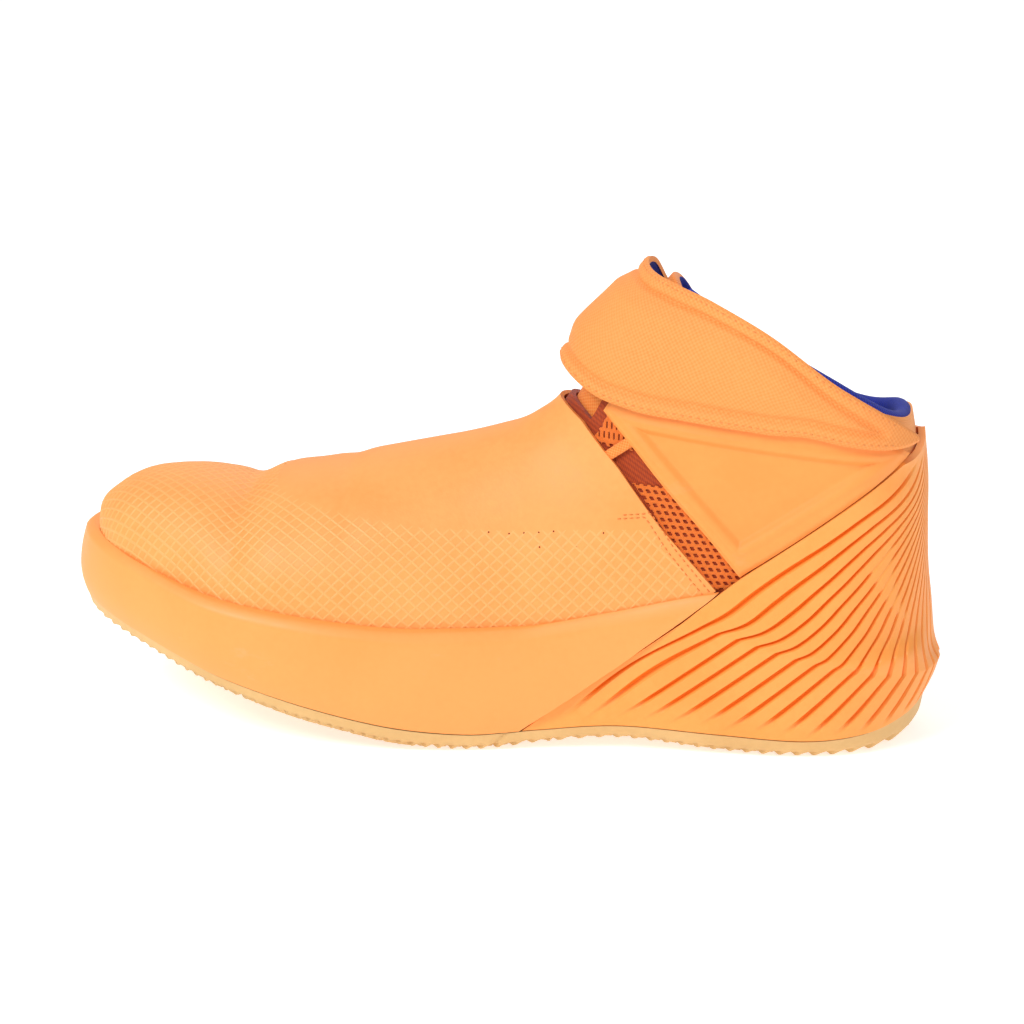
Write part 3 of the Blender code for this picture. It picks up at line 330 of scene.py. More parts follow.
def choose(piece, kind, chosen):
    """Selects some of a piece's vertices or faces and leaves it in edit mode."""
    pick(piece)
    bpy.ops.object.mode_set(mode="EDIT")
    bpy.ops.mesh.select_mode(type=kind)
    bpy.ops.mesh.select_all(action="DESELECT")
    bpy.ops.object.mode_set(mode="OBJECT")
    parts = piece.data.polygons if kind == "FACE" else piece.data.vertices
    parts.foreach_set("select", np.asarray(chosen, bool))
    bpy.ops.object.mode_set(mode="EDIT")


def drop_faces(piece, chosen):
    """Deletes the chosen faces."""
    choose(piece, "FACE", chosen)
    bpy.ops.mesh.delete(type="FACE")
    bpy.ops.object.mode_set(mode="OBJECT")


def ease(piece, line, reach, repeat):
    """Smooths the points of a piece that lie within reach, in millimetres, of a line of points."""
    places = np.empty(len(piece.data.vertices) * 3)
    piece.data.vertices.foreach_get("co", places)
    away = np.linalg.norm(places.reshape(-1, 1, 3) - model(line)[None], axis=2).min(axis=1)
    choose(piece, "VERT", away < reach * MM)
    bpy.ops.mesh.vertices_smooth(factor=0.5, repeat=repeat)
    bpy.ops.object.mode_set(mode="OBJECT")


def panel(name, across, up, shape, flipped=False):
    """A grid primitive laid on the shoe: shape puts each vertex by its shares across and up.

    Its UV map holds the lengths along the surface, in centimetres, so that patterns follow the piece."""
    bpy.ops.object.select_all(action="DESELECT")
    bpy.ops.mesh.primitive_grid_add(x_subdivisions=across, y_subdivisions=up, size=1.0)
    piece = bpy.context.active_object
    piece.name = name
    mesh = piece.data
    mesh.name = name
    count = len(mesh.vertices)
    flat = np.empty(count * 3)
    mesh.vertices.foreach_get("co", flat)
    shares = flat.reshape(-1, 3)[:, :2] + 0.5
    points = shape(shares[:, 0], shares[:, 1])
    mesh.vertices.foreach_set("co", model(points).ravel())
    columns = np.rint(shares[:, 0] * across).astype(int)
    rows = np.rint(shares[:, 1] * up).astype(int)
    grid = np.zeros((up + 1, across + 1, 3))
    grid[rows, columns] = points
    run = np.zeros((up + 1, across + 1))
    rise = np.zeros((up + 1, across + 1))
    run[:, 1:] = np.cumsum(np.linalg.norm(np.diff(grid, axis=1), axis=2), axis=1)
    rise[1:] = np.cumsum(np.linalg.norm(np.diff(grid, axis=0), axis=2), axis=0)
    rise -= rise[up // 2]
    uv = np.stack([run[rows, columns], rise[rows, columns]], axis=1) * 0.1
    corners = np.empty(len(mesh.loops), int)
    mesh.loops.foreach_get("vertex_index", corners)
    mesh.uv_layers.active.data.foreach_set("uv", uv[corners].ravel())
    mesh.update()
    if flipped:
        in_edit(piece, bpy.ops.mesh.flip_normals)
    return piece


def add_wall(piece, thickness, inner_slot=0, group=""):
    """Gives a sheet its wall inwards: inner_slot is its inner face's material, group weighs the wall."""
    modifier = piece.modifiers.new("wall", "SOLIDIFY")
    modifier.thickness = thickness * MM
    modifier.offset = -1.0
    modifier.vertex_group = group
    modifier.material_offset = inner_slot
    modifier.material_offset_rim = 0
    apply_modifiers(piece)


def paint(piece, name, values):
    """Stores one value per vertex for the materials to read."""
    layer = piece.data.attributes.new(name, "FLOAT", "POINT")
    layer.data.foreach_set("value", np.asarray(values, np.float32))


def give_looks(piece, looks):
    for look in looks:
        piece.data.materials.append(look)


def dress(piece, looks, replaced=(), angle=40.0):
    """Materials, smooth shading and the body that the piece rides on."""
    give_looks(piece, looks)
    pick(piece)
    bpy.ops.object.shade_smooth_by_angle(angle=math.radians(angle))
    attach(piece, ROOT)
    if replaced:
        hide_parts(*replaced)
    return piece


# The upper's wall, its padding at the ankle, the throat's opening, and the station ahead of which its inside
# takes the upper's cloth with its painted shade in place of the blue lining
UPPER_WALL, ANKLE_PAD = 1.9, 3.6
THROAT_ROW, THROAT_HALF = 14.5, 2 / 12
FRONT_LINING = 101.0


def make_upper(looks):
    """The soft shell on the foot: open at collar and throat, thin on the foot, padded round the ankle."""
    def place(u):
        return COLLAR_ROW * u

    across, up = 120, 96
    piece = panel("upper", across, up, lambda u, v: skin(dipped(place(u), 2 * v - 1), 2 * v - 1))
    mesh = piece.data
    give_looks(piece, looks)
    index = np.arange(across * up)
    row = place((index % across + 0.5) / across)
    a = np.abs(2 * ((index // across) + 0.5) / up - 1)
    vertex = np.arange(len(mesh.vertices))
    vertex_row = place((vertex % (across + 1)) / across)
    vertex_a = np.abs(2 * (vertex // (across + 1)) / up - 1)
    padded = np.clip((vertex_row - 16.5) / 2.0, 0, 1) * np.clip((vertex_a - 0.42) / 0.16, 0, 1)
    thickest = UPPER_WALL + ANKLE_PAD
    group = piece.vertex_groups.new(name="wall")
    for i, weight in enumerate((UPPER_WALL + ANKLE_PAD * padded) / thickest):
        group.add([i], float(weight), "REPLACE")
    # Painted shade: below the collar's band the cloth is darkened where it lies deep in the gaps between the
    # other pieces, over the knit's own deeper orange there
    paint(piece, "hollow", smooth(18.6 - vertex_row, 0.0, 0.8))
    drop_faces(piece, (row > THROAT_ROW) & (a < THROAT_HALF))
    merge_close(piece)
    add_wall(piece, thickest, 1, "wall")
    # Ahead of this station the inside shows the upper's cloth, darkened by painted shade, instead of the
    # blue lining
    front = model((FRONT_LINING, 0.0, 0.0))[0]
    for face in mesh.polygons:
        if face.center.x > front:
            face.material_index = 0
    return dress(piece, [], ["bootie"])


SHROUD_ROWS = np.linspace(0.0, 15.0, 121)
# Share of the shroud's length, and row of the last, where its rear part begins
SHROUD_SPLIT, SPLIT_ROW = 0.84, 11.0


def shroud_low_table():
    """Ring parameter of the shroud's lower edge: deep in the cup, and just above the cage behind it."""
    deep = 1.0 - 4.0 / 24
    table = []
    for row in SHROUD_ROWS:
        base_s, base_z, ridge_s, ridge_z = section(row)[:4]
        v = np.linspace(0.0, 0.8, 321)
        free = base_z + (ridge_z - base_z) * v > along(CAGE_EDGE, base_s + (ridge_s - base_s) * v) + 1.6
        low = float(ring_parameter(row, v[np.argmax(free)])) if free.any() else deep
        table.append(min(deep, low))
    return np.array(table)


SHROUD_LOW = shroud_low_table()


def shroud_run_table():
    """Rows of the last at even steps along the shroud's foot."""
    rows = np.linspace(0.0, SPLIT_ROW, 221)
    base_s, base_z = section(rows)[:2]
    run = np.concatenate([[0.0], np.cumsum(np.hypot(np.diff(base_s), np.diff(base_z)) + 0.01)])
    return run / run[-1], rows


SHROUD_RUN = shroud_run_table()
# Creases and rolls across the shroud: station, its shift to the sides, half width, height, where it fades
SHROUD_FOLDS = [
    (239.0, 9.0, 5.0, -1.5, 0.34, 0.62),
    (226.0, 4.0, 7.0, 0.9, 0.34, 0.62),
    (205.0, -8.0, 4.5, -0.7, 0.2, 0.5),
]


def shroud_place(u, v):
    """(row, a) on the shroud: u from toe to rear edge, v from the lateral to the medial lower edge."""
    j = 2 * v - 1
    corner, ridge = SHROUD_EDGE[0], SHROUD_EDGE[-1]
    s = corner[0] + (ridge[0] - corner[0]) * (1 - np.abs(j))
    end = locate(s, along(SHROUD_EDGE, s) - 1.0)[0]
    front = np.interp(u / SHROUD_SPLIT, *SHROUD_RUN)
    rear = SPLIT_ROW + (end - SPLIT_ROW) * (u - SHROUD_SPLIT) / (1 - SHROUD_SPLIT)
    row = np.where(u < SHROUD_SPLIT, front, rear)
    return row, np.interp(row, SHROUD_ROWS, SHROUD_LOW) * j


def shroud_lift(row, a):
    """Height of the shroud's outside over the last, with the folds where the foot flexes."""
    s = on_last(row, a)[..., 0]
    reach = np.abs(a)
    lift = GAP * (1.0 + 1.6 * np.clip(row - 9.5, 0.0, 1.0)) + SHROUD_WALL
    for station, shift, half, height, full, gone in SHROUD_FOLDS:
        wave = np.exp(-(((s - station - shift * reach) / half) ** 2))
        lift = lift + height * wave * (1 - smooth(reach, full, gone))
    return lift


def make_shroud(looks):
    """The synthetic cover of toe, vamp and instep."""
    def shape(u, v):
        row, a = shroud_place(u, v)
        return skin(row, a, shroud_lift(row, a))

    piece = panel("shroud", 190, 160, shape)
    merge_close(piece)
    tip = np.linspace(-0.8, 0.8, 41)
    row = np.zeros_like(tip)
    ease(piece, skin(row, tip, shroud_lift(row, tip)), reach=5.0, repeat=16)
    add_wall(piece, SHROUD_WALL)
    return dress(piece, looks, ["vamp_shroud"])


RHOMB_LENGTH, RHOMB_HEIGHT = 4.8, 4.2
RIB_HALF, RIB_HEIGHT, RIB_SUNK = 0.17, 0.34, 0.12
LONGEST_RIB_FACE = 4.0
OFF_RING, OFF_ROW = 9.0, -1.0
# Upper limit of the ribbed field, as (station, height); ahead of it the whole toe is ribbed
FIELD_TOP = [
    (88.0, 79.0), (96.0, 78.0), (143.0, 74.4), (176.0, 74.2), (210.0, 77.5), (229.0, 79.5), (237.0, 95.0),
]
FIELD_FRONT, WIDE_ROOM, REAR_BORDER = 236.0, 40.0, 6.5


def rib_rows():
    """Girth steps, and for each the ring parameter and the run along the shroud over its rows."""
    rows = np.linspace(0.15, 14.2, 282)
    girth = np.linspace(-88.0, 88.0, 177)
    ring = np.linspace(-0.84, 0.84, 337)
    points = skin(rows[:, None], ring[None, :])
    steps = np.hypot(np.diff(points[..., 1], axis=1), np.diff(points[..., 2], axis=1))
    length = np.concatenate([np.zeros((len(rows), 1)), np.cumsum(steps, axis=1)], axis=1)
    length -= length[:, len(ring) // 2][:, None]
    a = np.array([np.interp(girth, one, ring, left=OFF_RING, right=OFF_RING) for one in length])
    low = np.interp(rows, SHROUD_ROWS, SHROUD_LOW)[:, None]
    valid = np.abs(a) < low
    laid = skin(rows[:, None], np.clip(a, -low, low))
    steps = np.linalg.norm(np.diff(laid, axis=0), axis=2)
    run = np.concatenate([np.zeros((1, len(girth))), np.cumsum(steps, axis=0)])
    middle = int(np.argmin(np.abs(rows - 6.0)))
    return rows, girth, np.where(valid, a, OFF_RING), run[middle] - run


def make_shroud_ribs(looks):
    """The fine crossing ribs moulded on the shroud's toe and lower sides."""
    rows, girth, ring, run = rib_rows()
    numbers = np.arange(-58, 40)
    for lean, name in ((1.0, "shroud_ribs"), (-1.0, "shroud_ribs_across")):
        offsets = (numbers[:, None] + np.array([-RIB_HALF, 0.0, RIB_HALF])).ravel()
        across, up = len(offsets) - 1, len(girth) - 1
        row = np.zeros((up + 1, across + 1))
        a = np.full((up + 1, across + 1), OFF_RING)
        for k, height in enumerate(girth):
            wanted = RHOMB_LENGTH * (offsets - lean * height / RHOMB_HEIGHT)
            row[k] = np.interp(wanted, run[::-1, k], rows[::-1], left=OFF_ROW, right=OFF_ROW)
            a[k] = np.interp(row[k], rows, ring[:, k], left=OFF_RING, right=OFF_RING)
        laid = (row > 0.2) & (np.abs(a) < 1.0)
        safe_row, safe_a = np.where(laid, row, 6.0), np.where(laid, a, 0.0)
        s, _, z = np.moveaxis(on_last(safe_row, safe_a), -1, 0)
        room = np.where(s > FIELD_FRONT, WIDE_ROOM, np.minimum(along(FIELD_TOP, s) - z, WIDE_ROOM))
        behind = along(SHROUD_EDGE, s) - z - REAR_BORDER
        room = np.where(s > SHROUD_EDGE[-1][0], room, np.minimum(room, behind))
        crest = np.tile([0.0, 1.0, 0.0], len(numbers))[None, :]
        rise = -RIB_SUNK + (RIB_HEIGHT + RIB_SUNK) * crest * smooth(room, -0.5, 4.0)
        points = skin(safe_row, safe_a, shroud_lift(safe_row, safe_a) + rise)
        keep = laid & (room > -0.5)

        def shape(u, v, points=points, across=across, up=up):
            return points[np.rint(v * up).astype(int), np.rint(u * across).astype(int)]

        piece = panel(name, across, up, shape, flipped=True)
        full = keep[:-1, :-1] & keep[1:, :-1] & keep[:-1, 1:] & keep[1:, 1:]
        full &= np.linalg.norm(points[1:, 1:] - points[:-1, :-1], axis=2) < LONGEST_RIB_FACE
        full &= np.linalg.norm(points[1:, :-1] - points[:-1, 1:], axis=2) < LONGEST_RIB_FACE
        full &= (np.arange(across) % 3 != 2)[None, :]
        drop_faces(piece, ~full.ravel())
        dress(piece, looks, angle=180.0)


def cup_point(row, side, share, inset=0.0):
    """Outside of the cup sole at a share of its wall's height, and the last's own height share there."""
    base_s, base_z, ridge_s, ridge_z = section(row)[:4]
    sole_s = section(row)[11]
    up = np.full(np.shape(row), 0.4)
    for _ in range(8):
        rim = sole_at(base_s + (ridge_s - base_s) * up)[7]
        up = (rim - base_z) / (ridge_z - base_z)
    lean = (ridge_s - base_s) * up
    s = np.clip(sole_s + lean * share, 0.0, LENGTH)
    low = outsole_top(sole_s) + GAP
    z = low + (rim - low) * share
    here = sole_at(s)
    edge = np.where(side > 0, here[3], here[4])
    covered = (side < 0) * smooth(WRAP_FRONT + 1.2 - s, 0.0, 0.6) * smooth(wrap_top(s) - z, 0.4, 1.4)
    point = sole_side(s, side, wall_inset((z - edge) / (rim - edge)) + inset + WRAP_WALL * covered, z)
    foot = outsole_top(point[..., 0]) + GAP
    point[..., 2] += (foot - low) * np.clip(1 - share / 0.25, 0.0, 1.0)
    return point, np.clip((z - base_z) / (ridge_z - base_z), 0.02, 1.0)


def cup_end(share):
    """Last row of the cup sole's wall at a share of its height: it stops at the cage's front edge."""
    rows = np.linspace(8.5, 14.0, 441)
    ends = []
    for value in np.atleast_1d(share):
        point, _ = cup_point(rows, np.ones_like(rows), np.full_like(rows, value))
        behind = point[:, 2] < cage_slope(point[:, 0]) + 1.0
        ends.append(rows[np.argmax(behind)] if behind.any() else rows[-1])
    return np.array(ends)


CUP_SHARES = np.concatenate([np.linspace(0.0, 0.9, 28), [0.925, 0.95, 0.972, 0.988, 1.0]])
CUP_INSETS = np.concatenate([np.zeros(28), [0.25, 0.65, 1.1, 1.55, 2.1]])
# The tread's wrap over the medial toe: its front station, the room for its wall and how far it stands proud
WRAP_FRONT, WRAP_WALL, WRAP_PROUD = 300.0, 1.3, 0.4
CUP_INNER = 6


def make_cup_sole(looks):
    """The moulded cup sole: bulging wall, chamfered rim and the inside that holds the upper."""
    ends = cup_end(CUP_SHARES)
    outer = len(CUP_SHARES)
    total = outer + CUP_INNER

    def shape(u, v):
        k = np.rint(v * total).astype(int) % total
        side = np.where(u <= 0.5, 1.0, -1.0)
        q = np.where(u <= 0.5, 2 * u, 2 * (1 - u))
        wall = np.minimum(k, outer - 1)
        inside = np.clip(k - outer, 0, CUP_INNER - 1) / (CUP_INNER - 1)
        share = np.where(k < outer, CUP_SHARES[wall], 1.0 - 0.7 * inside)
        row = np.interp(share, CUP_SHARES, ends) * (1 - q) ** 1.35
        points, height = cup_point(row, side, share, CUP_INSETS[wall])
        inner = skin(row, -side * np.minimum(ring_parameter(row, height), 0.97), CUP_CLEAR - 0.5)
        return np.where((k >= outer)[:, None], inner, points)

    piece = panel("cup_sole", 240, total, shape)
    merge_close(piece)
    in_edit(piece, lambda: bpy.ops.mesh.fill_holes(sides=0))
    face_outwards(piece)
    return dress(piece, looks, ["midsole"])


def wrap_top(s):
    """Height of the tread's wrap over the medial toe."""
    return np.minimum(along(TOE_WRAP, s), sole_at(s)[7])


def outsole_profile(s, side):
    """Control points of half a section of the outsole, from its tread's middle round its side to its top."""
    here = sole_at(s)
    edge = np.where(side > 0, here[3], here[4])
    top = here[6]
    foot = tread_inset(s) - 1.8 * np.clip((s - 110.0) / 40.0, 0.0, 1.0)
    centre_s = np.interp(s, [0.0, 48.0, 262.0, LENGTH], [30.0, 48.0, 262.0, 284.0])
    middle = sole_at(centre_s)
    centre = np.stack([centre_s, (middle[1] + middle[2]) / 2, np.maximum(middle[5], 0.0)], axis=-1)
    pad = sole_side(s, side, foot + 6.0, np.maximum(here[5], 0.0))
    points = [centre, pad, sole_side(s, side, foot, edge)]
    points.append(sole_side(s, side, foot * 0.7, edge + (top - edge) * 0.3))
    wrapped = (side < 0) & (s < WRAP_FRONT) & (wrap_top(s) > top + 0.5)
    high = np.where(wrapped, wrap_top(s), top)
    for share in (0.0, 0.5, 1.0):
        z = top + (high - top) * share
        inset = np.where(s > 100.0, wall_inset((z - edge) / (here[7] - edge)), foot * 0.5)
        inset += np.where(wrapped, -WRAP_PROUD * min(1.0, 2 * share), 0.8 * share)
        points.append(sole_side(s, side, inset, z))
    inner = points[-1] + (centre - points[-1]) * 0.25
    inner[..., 2] = points[-1][..., 2]
    points.append(inner)
    lid = centre.copy()
    lid[..., 2] = middle[6]
    points.append(lid)
    return np.stack(points, axis=-2)


HERRING_WIDTH, HERRING_PITCH, HERRING_DEPTH = 11.0, 5.5, 1.1
TOOTH_DEPTH, HEEL_TOOTH, FRONT_TOOTH, TOOTH_CHANGE = 1.3, 6.0, 5.0, 130.0
SPLIT_STATION, SPLIT_HALF, SPLIT_DEPTH = 152.0, 0.7, 0.8
# Places round half a section of the outsole, counted in its control points
TREAD_SHARES = np.concatenate([
    np.linspace(0.0, 1.0, 34), np.linspace(1.0, 2.0, 8)[1:], np.linspace(2.0, 4.0, 12)[1:],
    np.linspace(4.0, 6.0, 13)[1:], [7.0, 8.0],
])


def profile_at(points, t):
    """Points along each row's own broken line, at line parameter t."""
    i = np.minimum(t.astype(int), points.shape[1] - 2)
    u = (t - i)[:, None]
    index = np.arange(len(t))
    return points[index, i] * (1 - u) + points[index, i + 1] * u


def make_tread(looks):
    """The rubber outsole with its herringbone tread, toothed edge and the wrap over the medial toe."""
    half = len(TREAD_SHARES)
    total = 2 * half - 2

    def shape(u, v):
        k = np.rint(v * total).astype(int) % total
        side = np.where(k < half, 1.0, -1.0)
        step = np.where(k < half, k, total - k)
        t = TREAD_SHARES[step]
        s = LENGTH * (0.5 - 0.5 * np.cos(math.pi * u)) * 0.35 + LENGTH * u * 0.65
        points = profile_at(outsole_profile(s, side), t)
        zig = np.abs((points[:, 1] / HERRING_WIDTH) % 2.0 - 1.0)
        wave = 0.5 + 0.5 * np.cos(2 * math.pi * (points[:, 0] / HERRING_PITCH + zig))
        ground = np.clip(1.0 - np.abs(t - 0.95) / 1.05, 0.0, 1.0) ** 0.3 * (t < 2.0)
        points[:, 2] += HERRING_DEPTH * smooth(wave, 0.55, 0.95) * ground * smooth(t, 0.0, 0.05)
        pitch = np.where(s < TOOTH_CHANGE, HEEL_TOOTH, FRONT_TOOTH)
        notch = (points[:, 0] + 1.3 * points[:, 2]) / pitch
        notch = smooth(0.5 - np.abs(notch - np.rint(notch)), 0.14, 0.42)
        low_side = smooth(t, 1.5, 1.9) * (1 - smooth(t, 2.5, 3.3))
        split = np.exp(-(((points[:, 0] + 0.9 * points[:, 2] - SPLIT_STATION) / SPLIT_HALF) ** 2))
        split *= smooth(t, 1.6, 2.0) * (t < 5.5)
        cut = TOOTH_DEPTH * (1 - notch) * low_side + SPLIT_DEPTH * split
        points[:, 1] -= side * cut
        points[:, 2] += 0.5 * cut * low_side
        return points

    piece = panel("tread", 420, total, shape)
    merge_close(piece)
    face_outwards(piece)
    return dress(piece, looks, ["outsole"])


CAGE_FOOT, CREASE_FRONT, CAGE_WALL = 140.0, 88.0, 2.4
# Levels of the cage above its crease: front station, height at the back, reach over the last at each end
CAGE_LEVELS = [
    (79.0, 38.0, 5.4, 9.6), (69.0, 48.0, 3.8, 5.8), (58.0, 61.0, 3.2, 3.6),
    (45.0, 76.0, 3.2, 3.2), (31.0, 92.0, 3.2, 3.2), (19.0, 107.0, 3.2, 3.2),
]
# Height parameters: 0 at the cage's foot, 2 at its crease, then one for each level
CAGE_TOP, CREASE_AT = 8.0, 2.0
RIBS_PER_SIDE, RIB_COLUMNS, RIB_LEVELS = 17, 12, 96
GROOVE_DEPTH, GROOVE_HALF = 1.7, 0.12
# How strongly the grooves lean towards the heel's back, by height parameter, and the share that does not
GROOVE_LEAN = [
    (2.0, 1.0), (3.0, 1.0), (4.0, 0.92), (5.0, 1.05), (6.0, 1.5),
    (6.5, 2.15), (7.0, 3.7), (7.5, 8.0), (8.0, 11.0),
]
STRAIGHT_SHARE = 0.15
# Grooves that are broken, from first to last: the break's height parameter, its step and its half length
FIRST_BREAK, LAST_BREAK = 5, 11
BREAK_AT, BREAK_STEP, BREAK_HALF, BREAK_SHORTER = 5.83, 0.22, 0.3, 0.035
# The way round one side of the cage, by height parameter
CAGE_ARC = [(0.0, 162.0), (2.0, 110.0), (6.0, 62.0), (8.0, 30.0)]


def heel_arc(front, share, side):
    """Stations on the sole's outline at a share of the way from station front round to the heel's back."""
    found = np.zeros(share.shape)
    for sign in (1.0, -1.0):
        stations = np.maximum(front * (1 - np.linspace(0.0, 1.0, 81) ** 0.6), 0.0)
        points = sole_side(stations, sign, 0.0, 0.0)[:, :2]
        length = way_along(points)
        found = np.where(side == sign, np.interp(share * length[-1], length, stations), found)
    return np.maximum(found, 0.0)


def groove_lean(t):
    """Lean of the grooves at height parameter t, with the corners of its table rounded off."""
    return np.mean([along(GROOVE_LEAN, t + d) for d in np.linspace(-0.5, 0.5, 9)], axis=0)


def cage_share(rib, t):
    """Share of the way from the cage's front edge to the heel's back, for a rib line at height t."""
    rest = 1 - rib
    return 1 - (1 - STRAIGHT_SHARE) * rest ** groove_lean(t) - STRAIGHT_SHARE * rest


def groove_at(rib, t):
    """Depth share of the grooves: tapered ends, staggered breaks, none where the ribs crowd."""
    place = rib * RIBS_PER_SIDE
    number = np.rint(place)
    profile = np.exp(-((np.abs(place - number) / GROOVE_HALF) ** 4)) * (number >= 1)
    foot = smooth(t, 0.06 + 0.08 * np.sin(2.4 * number), 0.75)
    top = 1 - smooth(t, 7.4, 7.85)
    broken = (number >= FIRST_BREAK) & (number <= LAST_BREAK)
    half = BREAK_HALF - BREAK_SHORTER * (number - FIRST_BREAK)
    away = np.abs(t - BREAK_AT + BREAK_STEP * (number - FIRST_BREAK))
    bridge = broken * (1 - smooth(away, half - 0.07, half + 0.07))
    lean = groove_lean(t)
    crowd = (1 - STRAIGHT_SHARE) * lean * np.maximum(1 - rib, 1e-6) ** (lean - 1) + STRAIGHT_SHARE
    pitch = along(CAGE_ARC, t) / RIBS_PER_SIDE * crowd
    return profile * foot * top * (1 - 0.85 * bridge) * smooth(pitch, 0.7, 1.9)


def cage_profile(share, side, depth):
    """Points up the outside of the heel cage: foot, middle, crease, then its levels."""
    foot_s = heel_arc(CAGE_FOOT, share, side)
    middle_s = heel_arc((CAGE_FOOT + CREASE_FRONT) / 2, share, side)
    crease_s = heel_arc(CREASE_FRONT, share, side)
    foot_inset = tread_inset(foot_s) * 0.5
    crease_z = along(CAGE_CREASE, crease_s)
    crease_inset = 2.5 * np.clip((crease_s - 58.0) / 30.0, 0.0, 1.0)
    edge_share = np.maximum(1.0 - share / 0.15, 0.0)
    low = sole_side(foot_s, side, foot_inset + depth, 0.0)
    low[:, 2] = outsole_top(low[:, 0]) + GAP
    middle_z = (low[:, 2] + crease_z) / 2
    middle_z += (along(CAGE_EDGE, middle_s) - middle_z) * edge_share
    points = [low, sole_side(middle_s, side, 0.4 * foot_inset + 0.6 * crease_inset + depth, middle_z)]
    points.append(sole_side(crease_s, side, crease_inset + depth, crease_z))
    heights = LAST[HEEL_ROW + 1:, 1]
    for front_s, back_z, front_reach, back_reach in CAGE_LEVELS:
        front_row, front_a = (float(x) for x in locate(front_s, along(CAGE_EDGE, front_s)))
        back_row = HEEL_ROW + np.interp(back_z, heights, np.arange(len(heights)))
        row = front_row + (back_row - front_row) * share
        a = front_a + (1.0 - front_a) * share
        reach = front_reach + (back_reach - front_reach) * share
        point = skin(row, -side * a, reach - depth)
        back = skin(np.full_like(share, back_row), -side, back_reach - depth)
        point[:, 1] -= back[:, 1] * share**8
        points.append(point)
    return np.stack(points, axis=1)


def curve_at(points, t):
    """Smooth points along each row's own control points, at parameter t."""
    last = points.shape[1] - 1
    i = np.minimum(t.astype(int), last - 1)
    u = (t - i)[:, None]
    index = np.arange(len(t))
    p1, p2 = points[index, i], points[index, i + 1]
    p0 = np.where((i > 0)[:, None], points[index, np.maximum(i - 1, 0)], 2 * p1 - p2)
    p3 = np.where((i + 2 <= last)[:, None], points[index, np.minimum(i + 2, last)], 2 * p2 - p1)
    return cubic(p0, p1, p2, p3, u)


def make_cage(looks):
    """The ribbed heel cage."""
    columns = 2 * RIBS_PER_SIDE * RIB_COLUMNS

    def column(u):
        side = np.where(u <= 0.5, 1.0, -1.0)
        return np.where(u <= 0.5, 2 * u, 2 * (1 - u)), side

    def shape(u, v):
        rib, side = column(u)
        t = CAGE_TOP * v
        share = cage_share(rib, t)

        def surface(depth):
            points = cage_profile(share, side, depth)
            low = curve_at(points[:, :3], np.minimum(t, CREASE_AT))
            high = curve_at(points[:, 2:], np.maximum(t - CREASE_AT, 0.0))
            return np.where((t <= CREASE_AT)[:, None], low, high)

        whole, cut = surface(np.zeros_like(share)), surface(np.full_like(share, GROOVE_DEPTH))
        return whole + (cut - whole) * groove_at(rib, t)[:, None]

    piece = panel("cage", columns, RIB_LEVELS, shape)
    vertex = np.arange(len(piece.data.vertices))
    rib, _ = column((vertex % (columns + 1)) / columns)
    # The grooves' depth share, by which the look paints shade into them
    paint(piece, "groove", groove_at(rib, CAGE_TOP * (vertex // (columns + 1)) / RIB_LEVELS))
    add_wall(piece, CAGE_WALL)
    merge_close(piece)
    return dress(piece, looks, ["heel_cage"], angle=50.0)


def edge_point(line, share):
    return catmull(np.array(line, float), share * (len(line) - 1))


def coons(left, right, low, high, across, up):
    """Side-view points of a four-sided patch between four edge lines."""
    x, y = across[:, None], up[:, None]
    ends = (
        (1 - x) * (1 - y) * np.array(left[0]) + x * (1 - y) * np.array(right[0])
        + (1 - x) * y * np.array(left[-1]) + x * y * np.array(right[-1])
    )
    return (
        (1 - x) * edge_point(left, up) + x * edge_point(right, up)
        + (1 - y) * edge_point(low, across) + y * edge_point(high, across) - ends
    )


QUARTER_REAR, QUARTER_FOOT, QUARTER_FRONT = (16.6, 104.3), (69.0, 63.3), (116.0, 113.5)
QUARTER_GAP = [QUARTER_FOOT, (81.0, 77.0), (94.0, 90.5), (106.0, 103.5), QUARTER_FRONT]
QUARTER_LOW = [QUARTER_REAR, (30.5, 92.7), (45.0, 81.2), (57.0, 72.2), QUARTER_FOOT]
# Collar edge and throat edge of the panel on each side
QUARTER_TOPS = {
    1: (
        [QUARTER_REAR, (52.0, 132.0), (83.0, 147.5)],
        [(83.0, 147.5), (95.0, 141.0), (108.0, 126.0), QUARTER_FRONT],
    ),
    -1: (
        [QUARTER_REAR, (50.0, 113.0), (84.0, 133.0)],
        [(84.0, 133.0), (96.0, 132.0), (108.0, 124.0), QUARTER_FRONT],
    ),
}
SUNK_TRIANGLE = [(105.0, 110.0), (26.0, 104.0), (69.5, 73.5)]
SUNK_DEPTH, LIP_HEIGHT, EDGE_DROP, MIDDLE_CROWN = 1.7, 0.5, 0.7, 0.35
QUARTER_SPAN, QUARTER_WALL = 55.0, 1.2


def inside_triangle(s, z, corners):
    """Distance in from the nearest side of a triangle of the side view; negative outside."""
    depth = np.full(np.shape(s), 1e9)
    area = 0.0
    for (s0, z0), (s1, z1) in zip(corners, corners[1:] + corners[:1]):
        area += s0 * z1 - s1 * z0
    for (s0, z0), (s1, z1) in zip(corners, corners[1:] + corners[:1]):
        cross = (s1 - s0) * (z - z0) - (z1 - z0) * (s - s0)
        depth = np.minimum(depth, cross * np.sign(area) / math.hypot(s1 - s0, z1 - z0))
    return depth


